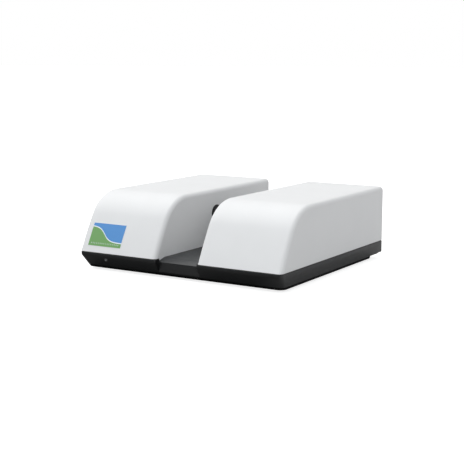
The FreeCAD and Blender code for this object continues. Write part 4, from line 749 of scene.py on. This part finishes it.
# Bottom pan, with a bead along its lower edge

PAN_SHORT = 41.0
PAN_WALL = 3.5
PAN_FLOOR = 1.5
PAN_BEAD = 4.8
BEAD_WIDTH = 3.5
BEAD_ROUND = 0.5
BEAD_RISE = 0.4
BEAD_FOOT = 6.0


def pan_ring(form, z, wall=0.0, inset=0.0):
    """The pan's plan at a level as a ring."""
    share = undercut(z)
    x = HALF_WIDTH - SIDE_UNDERCUT * share - wall - inset
    low = FRONT + FRONT_UNDERCUT * share + wall + inset
    high = BACK - PAN_SHORT - wall - inset
    bend = CORNER_ROUND + CORNER_GROWTH * share - wall
    corners = [(a, b, bend, CORNER_STEPS) for a, b in ((x, low), (x, high), (-x, high), (-x, low))]
    return [form.verts.new((a * MM, b * MM, z * MM)) for a, b in rounded_outline(corners)]


def pan():
    """Shallow pan whose rear end stops short of the back."""
    form = bmesh.new()
    rings = [pan_ring(form, PAN_BOTTOM, inset=BEAD_FOOT), pan_ring(form, PAN_BEAD, inset=BEAD_WIDTH)]
    rings += [pan_ring(form, PAN_BEAD, inset=BEAD_ROUND), pan_ring(form, PAN_BEAD + BEAD_RISE)]
    rings += [pan_ring(form, PAN_TOP), pan_ring(form, PAN_TOP, PAN_WALL)]
    rings.append(pan_ring(form, PAN_BOTTOM + PAN_FLOOR, PAN_WALL))
    solid_skin(form, rings)
    shade(add_piece("pan_dish", mesh_of(form, "pan_dish"), "pan_metal", "bottom_pan"))


pan()


# Sample deck

GAP_MIDDLE = (GAP_LEFT + GAP_RIGHT) / 2
DECK_TOP = 41.5
DECK_THICK = 2.5
DECK_HALF = 50.7
DECK_CLEARANCE = 0.4
DECK_BACK = BACK - WALL - DECK_CLEARANCE
ROLL_START = -198.0
ROLL_DROP = 7.6
ROLL_POWER = 2.1
ROLL_STEPS = 14
LIP_THICK = 0.5
LIP_LEAN = 0.3
LIP_FOOT = 3
HAUNCH_LENGTH = 4
HAUNCH_DROP = 0.8
BENCH_TOP = 37.0
RIB_XS = (-35, -12, 16, 39)
RIB_HALF = 1
RIB_FRONT, RIB_BACK = -195, 214
RIB_SINK = 0.3
SLOT_OFFSET = 29
SLOT_RADIUS = 2.6
SLOT_BAR_X, SLOT_BAR_Y = 1.7, 5.6
SLOT_LOW, SLOT_HIGH = 36, 44


def deck_profile():
    """Side view of the deck plate: its front rolls down to a thin edge that ends at the apron's foot."""
    lip = FRONT + APRON_RECESS
    under = DECK_TOP - DECK_THICK
    points = []
    for step in range(ROLL_STEPS + 1):
        share = step / ROLL_STEPS
        points.append((ROLL_START + (lip - ROLL_START) * share, DECK_TOP - ROLL_DROP * share ** ROLL_POWER))
    points += [(lip, points[-1][1] - LIP_THICK), (lip + LIP_LEAN, APRON_FOOT), (lip + LIP_FOOT, APRON_FOOT)]
    points += [(ROLL_START - HAUNCH_LENGTH, under - HAUNCH_DROP), (ROLL_START, under)]
    return points + [(DECK_BACK, under), (DECK_BACK, DECK_TOP)]


def deck():
    """Deck plate with ribs below, and keyhole slots under the holder."""
    form = bmesh.new()
    sides = []
    for x in (-DECK_HALF, DECK_HALF):
        sides.append([form.verts.new(((GAP_MIDDLE + x) * MM, y * MM, z * MM)) for y, z in deck_profile()])
    solid_skin(form, sides)
    for x in RIB_XS:
        left, right = x - RIB_HALF, x + RIB_HALF
        plan = [(left, RIB_FRONT), (right, RIB_FRONT), (right, RIB_BACK), (left, RIB_BACK)]
        prism(form, plan, BENCH_TOP, DECK_TOP - DECK_THICK + RIB_SINK)
    thing = add_piece("deck_plate", mesh_of(form, "deck_plate"), "deck_plastic", "sample_deck")
    slots = []
    for x in (GAP_MIDDLE - SLOT_OFFSET, GAP_MIDDLE + SLOT_OFFSET):
        drill = [(SLOT_LOW, SLOT_RADIUS), (SLOT_HIGH, SLOT_RADIUS)]
        slots.append(turned(drill, steps=32, centre=(x, 0, 0), axis="z"))
        slots.append(upright_bar(x, SLOT_BAR_X, SLOT_BAR_Y, SLOT_LOW, SLOT_HIGH))
    cut_with(thing, *slots)


deck()


# Rubber feet

FOOT_PROFILE = ((0, 8.6), (0.3, 9.2), (1.0, 9.5), (4.6, 9.9), (5.4, 9.7), (6.0, 9.3))
FOOT_XS = (-190, 190)
FOOT_YS = (-175, 165)


def feet():
    """Four feet that swell a little towards the pan."""
    forms = [turned(FOOT_PROFILE, steps=40, centre=(x, y, 0), axis="z") for x in FOOT_XS for y in FOOT_YS]
    shade(add_piece("round_feet", joined(forms, "round_feet"), "rubber", "rubber_feet"))


feet()


# Beam ports

BEZEL_PROFILE = (
    (0, 10.2), (1.1, 10.0), (1.7, 10.4), (2.0, 11.2), (2.0, 18.4),
    (1.6, 19.1), (0.9, 19.5), (0, 19.5), (0, 10.2),
)


def bezel(name, node, wall, axis):
    """A flat ring with a stepped edge on a pod's inner wall."""
    form = turned(BEZEL_PROFILE, steps=72, centre=(wall, 0, BEAM_HEIGHT), axis=axis)
    shade(add_piece(name, mesh_of(form, name), "bezel_black", node))


bezel("left_bezel", "left_beam_port", GAP_LEFT, "x")
bezel("right_bezel", "right_beam_port", GAP_RIGHT, "-x")


# Cuvette holder and its knobs

HOLDER_EDGE = 0.35
KNOB_PROFILE = (
    (48.8, 7.2), (49.2, 7.7), (50.0, 7.9), (58.2, 7.9), (59.2, 7.4),
    (59.6, 6.6), (59.7, 5.0), (59.1, 4.4), (58.9, 0.4),
)
KNOB_STEPS = 96
FLUTES = 16
FLUTE_DEPTH = 0.45
FLUTED_ABOVE = 6.9
STUD_RADIUS = 2.5
STUD_LOW, STUD_HIGH = 37.4, 49.0
CROSSBAR_X, CROSSBAR_Y = 5.0, 1.4
CROSSBAR_TOP = 38.7

for node in ("holder_base", "holder_column", "cell_holder"):
    dressed(node, HOLDER_EDGE)


def grip(x):
    """The fluted grip of a knob."""
    form = bmesh.new()
    rings = []
    for z, radius in KNOB_PROFILE:
        ring = []
        for step in range(KNOB_STEPS):
            angle = 2 * math.pi * step / KNOB_STEPS
            flute = FLUTE_DEPTH * max(0.0, math.cos(angle * FLUTES)) if radius > FLUTED_ABOVE else 0.0
            reach = radius - flute
            across, deep = x + reach * math.cos(angle), reach * math.sin(angle)
            ring.append(form.verts.new((across * MM, deep * MM, z * MM)))
        rings.append(ring)
    solid_skin(form, rings)
    return form


def knob(name, node, body, x):
    """Grip on its stud, with the crossbar that locks it under the deck."""
    profile = [(STUD_LOW, STUD_RADIUS), (STUD_HIGH, STUD_RADIUS)]
    stud = turned(profile, steps=24, centre=(x, 0, 0), axis="z")
    crossbar = upright_bar(x, CROSSBAR_X, CROSSBAR_Y, STUD_LOW, CROSSBAR_TOP)
    mesh = joined([grip(x), stud, crossbar], name)
    shade(add_piece(name, mesh, "knob_plastic", node, body), sharp=40)


knob("left_grip", "left_knob", "knob_left", GAP_MIDDLE - SLOT_OFFSET)
knob("right_grip", "right_knob", "knob_right", GAP_MIDDLE + SLOT_OFFSET)


# Label plate, bowed like the face that it is on

LABEL_UNDERSIDE, LABEL_FACE = 0.05, 0.45
LABEL_COLUMNS, LABEL_ROWS = 20, 24


def label_layer(form, lift):
    """A grid of vertices over the label's place, this far in front of the pod's face."""
    radius = FACE_RADIUS + lift
    grid = []
    for row in range(LABEL_ROWS + 1):
        z = LABEL_FOOT + LABEL_HEIGHT * row / LABEL_ROWS
        y = FACE_Y - radius * math.cos(math.asin((z - FACE_Z) / radius))
        xs = [LABEL_LEFT + LABEL_WIDTH * column / LABEL_COLUMNS for column in range(LABEL_COLUMNS + 1)]
        grid.append([form.verts.new((x * MM, y * MM, z * MM)) for x in xs])
    return grid


def label():
    """A thin plate between two layers."""
    form = bmesh.new()
    under, over = label_layer(form, LABEL_UNDERSIDE), label_layer(form, LABEL_FACE)
    skin(form, under, closed=False)
    skin(form, over, closed=False)
    for row in (0, LABEL_ROWS):
        skin(form, [under[row], over[row]], closed=False)
    for column in (0, LABEL_COLUMNS):
        skin(form, [[row[column] for row in under], [row[column] for row in over]], closed=False)
    shade(add_piece("label_plate", mesh_of(form, "label_plate"), "label_print", "front_label"))


label()


# Power indicator, a low dome in the slope of the base's front

INDICATOR_PROFILE = ((0.5, 0.3), (0.15, 1.6), (-0.2, 2.7), (-0.5, 3.4), (0.0, 3.9), (11.6, 3.9))


def indicator():
    """Round lens that sits in its hole."""
    y = FRONT + FRONT_UNDERCUT * undercut(LAMP_Z)
    form = turned(INDICATOR_PROFILE, steps=40, centre=(LAMP_X, y, LAMP_Z), axis="y")
    shade(add_piece("indicator_cap", mesh_of(form, "cap"), "indicator_lens", "power_indicator"), sharp=45)


indicator()


# Fan

FAN_CENTRE = Vector((-195, 222.5, 124))
HUB_PROFILE = ((-4.0, 0.4), (-4.0, 9.6), (-3.6, 10.6), (-2.8, 11.0), (5.0, 11.0), (5.0, 0.4))
SHAFT_PROFILE = ((4.5, 1.5), (7.3, 1.5))
BLADES = 7
BLADE_STEPS = 8
BLADE_ROOT, BLADE_LENGTH = 10.0, 15.9
ROOT_PITCH, PITCH_LOSS = 46, 14
ROOT_CHORD, CHORD_GROWTH = 10.5, 3.0
BLADE_CAMBER = 0.9
BLADE_THICK, BLADE_EDGE = 0.55, 0.12


def blade(turn):
    """One twisted, cambered fan blade from the hub to the tip."""
    form = bmesh.new()
    rings = []
    for step in range(BLADE_STEPS + 1):
        share = step / BLADE_STEPS
        radius = BLADE_ROOT + BLADE_LENGTH * share
        pitch = math.radians(ROOT_PITCH - PITCH_LOSS * share)
        chord = ROOT_CHORD + CHORD_GROWTH * share
        upper, lower = [], []
        for column in range(BLADE_STEPS + 1):
            along = column / BLADE_STEPS - 0.5
            bulge = 1 - 4 * along * along
            camber = BLADE_CAMBER * bulge
            thick = BLADE_THICK * math.sqrt(bulge) + BLADE_EDGE
            for side, lift in ((upper, camber + thick), (lower, camber - thick)):
                across = chord * along * math.cos(pitch) - lift * math.sin(pitch)
                deep = chord * along * math.sin(pitch) + lift * math.cos(pitch)
                side.append(Vector((across, deep, radius)))
        rings.append([form.verts.new((FAN_CENTRE + turn @ place) * MM) for place in upper + lower[::-1]])
    solid_skin(form, rings)
    return form


def fan():
    """Hub, shaft and blades, which turn together."""
    hub = turned(HUB_PROFILE, steps=64, centre=FAN_CENTRE, axis="y")
    shaft = turned(SHAFT_PROFILE, steps=24, centre=FAN_CENTRE, axis="y")
    blades = [blade(Matrix.Rotation(2 * math.pi * step / BLADES, 3, "Y")) for step in range(BLADES)]
    mesh = joined([hub, shaft] + blades, "fan_wheel")
    shade(add_piece("fan_wheel", mesh, "fan_plastic", "fan_rotor", "fan"), sharp=40)


fan()


# Rear parts, whose CAD forms only need softer edges

REAR_EDGE = 0.25
MOVING_EDGE = 0.3

for node in ("fan_guard", "panel_screws", "inlet_pins"):
    dressed(node, REAR_EDGE)
for node in ("left_rear_panel", "right_rear_panel", "power_inlet", "rocker_frame", "usb_port", "fan_frame"):
    dressed(node, REAR_EDGE, segments=1)
dressed("fuse_drawer", MOVING_EDGE, body="fuse_tray")
dressed("power_rocker", MOVING_EDGE, body="rocker")


# Floor, a pale paper

FLOOR_REACH_METRES = 40
FLOOR_LEVEL = -0.2
PAPER_LOW, PAPER_HIGH = 0.55, 0.57
PAPER_GRAIN = 40
PAPER_GLOW = 0.80
# Painted shade: the paper's colour, as light and reflections see it, is darker in front of the object and
# stands in for a contact shadow
PAINTED_SHADE_FRONT, PAINTED_SHADE_BACK = 0.15, 0.60
PAINTED_SHADE_START_METRES, PAINTED_SHADE_END_METRES = -0.09, 0.0
PAINTED_SHADE_SLANT = 0.8


def floor():
    """White to the camera but for the object's shadow; to light and reflections its colour holds painted
    shade, darker in front of the object as a stand-in for a contact shadow.
    """
    form = bmesh.new()
    bmesh.ops.create_grid(form, x_segments=1, y_segments=1, size=FLOOR_REACH_METRES)
    thing = in_scene("floor", mesh_of(form, "floor"))
    thing.location.z = FLOOR_LEVEL * MM
    shader = Shader("floor_paper")
    shader.tree.nodes.remove(shader.bsdf)
    place = shader.axes()
    # Painted shade for every ray but the camera's, darkest towards the object's front
    diagonal = shader.math("ADD", place["Y"], shader.math("MULTIPLY", place["X"], PAINTED_SHADE_SLANT))
    painted_shade = shader.ramp(diagonal, PAINTED_SHADE_FRONT, PAINTED_SHADE_BACK, PAINTED_SHADE_START_METRES, PAINTED_SHADE_END_METRES)
    grain = shader.ramp(shader.noise(PAPER_GRAIN), PAPER_LOW, PAPER_HIGH)
    seen = shader.add("ShaderNodeLightPath").outputs["Is Camera Ray"]
    tone = shader.add("ShaderNodeMix", data_type="FLOAT")
    for value, socket in ((seen, tone.inputs[0]), (painted_shade, tone.inputs[2]), (grain, tone.inputs[3])):
        shader.link(value, socket)
    paper = shader.add("ShaderNodeBsdfDiffuse")
    shader.link(tone.outputs[0], paper.inputs["Color"])
    lift = shader.add("ShaderNodeEmission")
    shader.link(shader.math("MULTIPLY", seen, PAPER_GLOW), lift.inputs["Strength"])
    both = shader.add("ShaderNodeAddShader")
    shader.link(paper.outputs[0], both.inputs[0])
    shader.link(lift.outputs[0], both.inputs[1])
    shader.link(both.outputs[0], shader.tree.nodes["Material Output"].inputs["Surface"])
    thing.data.materials.append(shader.material)


floor()


# Background and lights

ROOM_LIGHT = 0.535
ROOM_TINT = (0.985, 0.99, 1.0, 1)
PLAIN_WHITE = (1.0, 1.0, 1.0, 1)


def world():
    """White to the camera and through glass, a softer and slightly cool grey as light."""
    scene = bpy.context.scene
    scene.world = bpy.data.worlds.new("studio")
    scene.world.use_nodes = True
    tree = scene.world.node_tree
    back = tree.nodes["Background"]
    path = tree.nodes.new("ShaderNodeLightPath")
    seen = tree.nodes.new("ShaderNodeMath")
    seen.operation = "MAXIMUM"
    tree.links.new(path.outputs["Is Camera Ray"], seen.inputs[0])
    tree.links.new(path.outputs["Is Transmission Ray"], seen.inputs[1])
    shown = tree.nodes.new("ShaderNodeMapRange")
    shown.inputs["To Min"].default_value = ROOM_LIGHT
    shown.inputs["To Max"].default_value = 1.0
    tree.links.new(seen.outputs[0], shown.inputs["Value"])
    tree.links.new(shown.outputs["Result"], back.inputs["Strength"])
    tint = tree.nodes.new("ShaderNodeMix")
    tint.data_type = "RGBA"
    tree.links.new(seen.outputs[0], tint.inputs["Factor"])
    tint.inputs[6].default_value = ROOM_TINT
    tint.inputs[7].default_value = PLAIN_WHITE
    tree.links.new(tint.outputs[2], back.inputs["Color"])


def sun(name, direction, strength, angle, colour):
    """A sun that shines along a direction, with its apparent size in degrees."""
    data = bpy.data.lights.new(name, "SUN")
    data.energy = strength
    data.color = colour
    data.angle = math.radians(angle)
    in_scene(name, data).rotation_euler = Vector(direction).to_track_quat("-Z", "Y").to_euler()


world()
sun("overhead", direction=(0.50, -0.05, -0.86), strength=1.68, angle=60, colour=(1.0, 0.995, 0.985))
sun("front_fill", direction=(-0.12, 0.96, -0.25), strength=1.11, angle=100, colour=(0.94, 1.0, 1.04))

bpy.context.scene.view_settings.view_transform = "Standard"
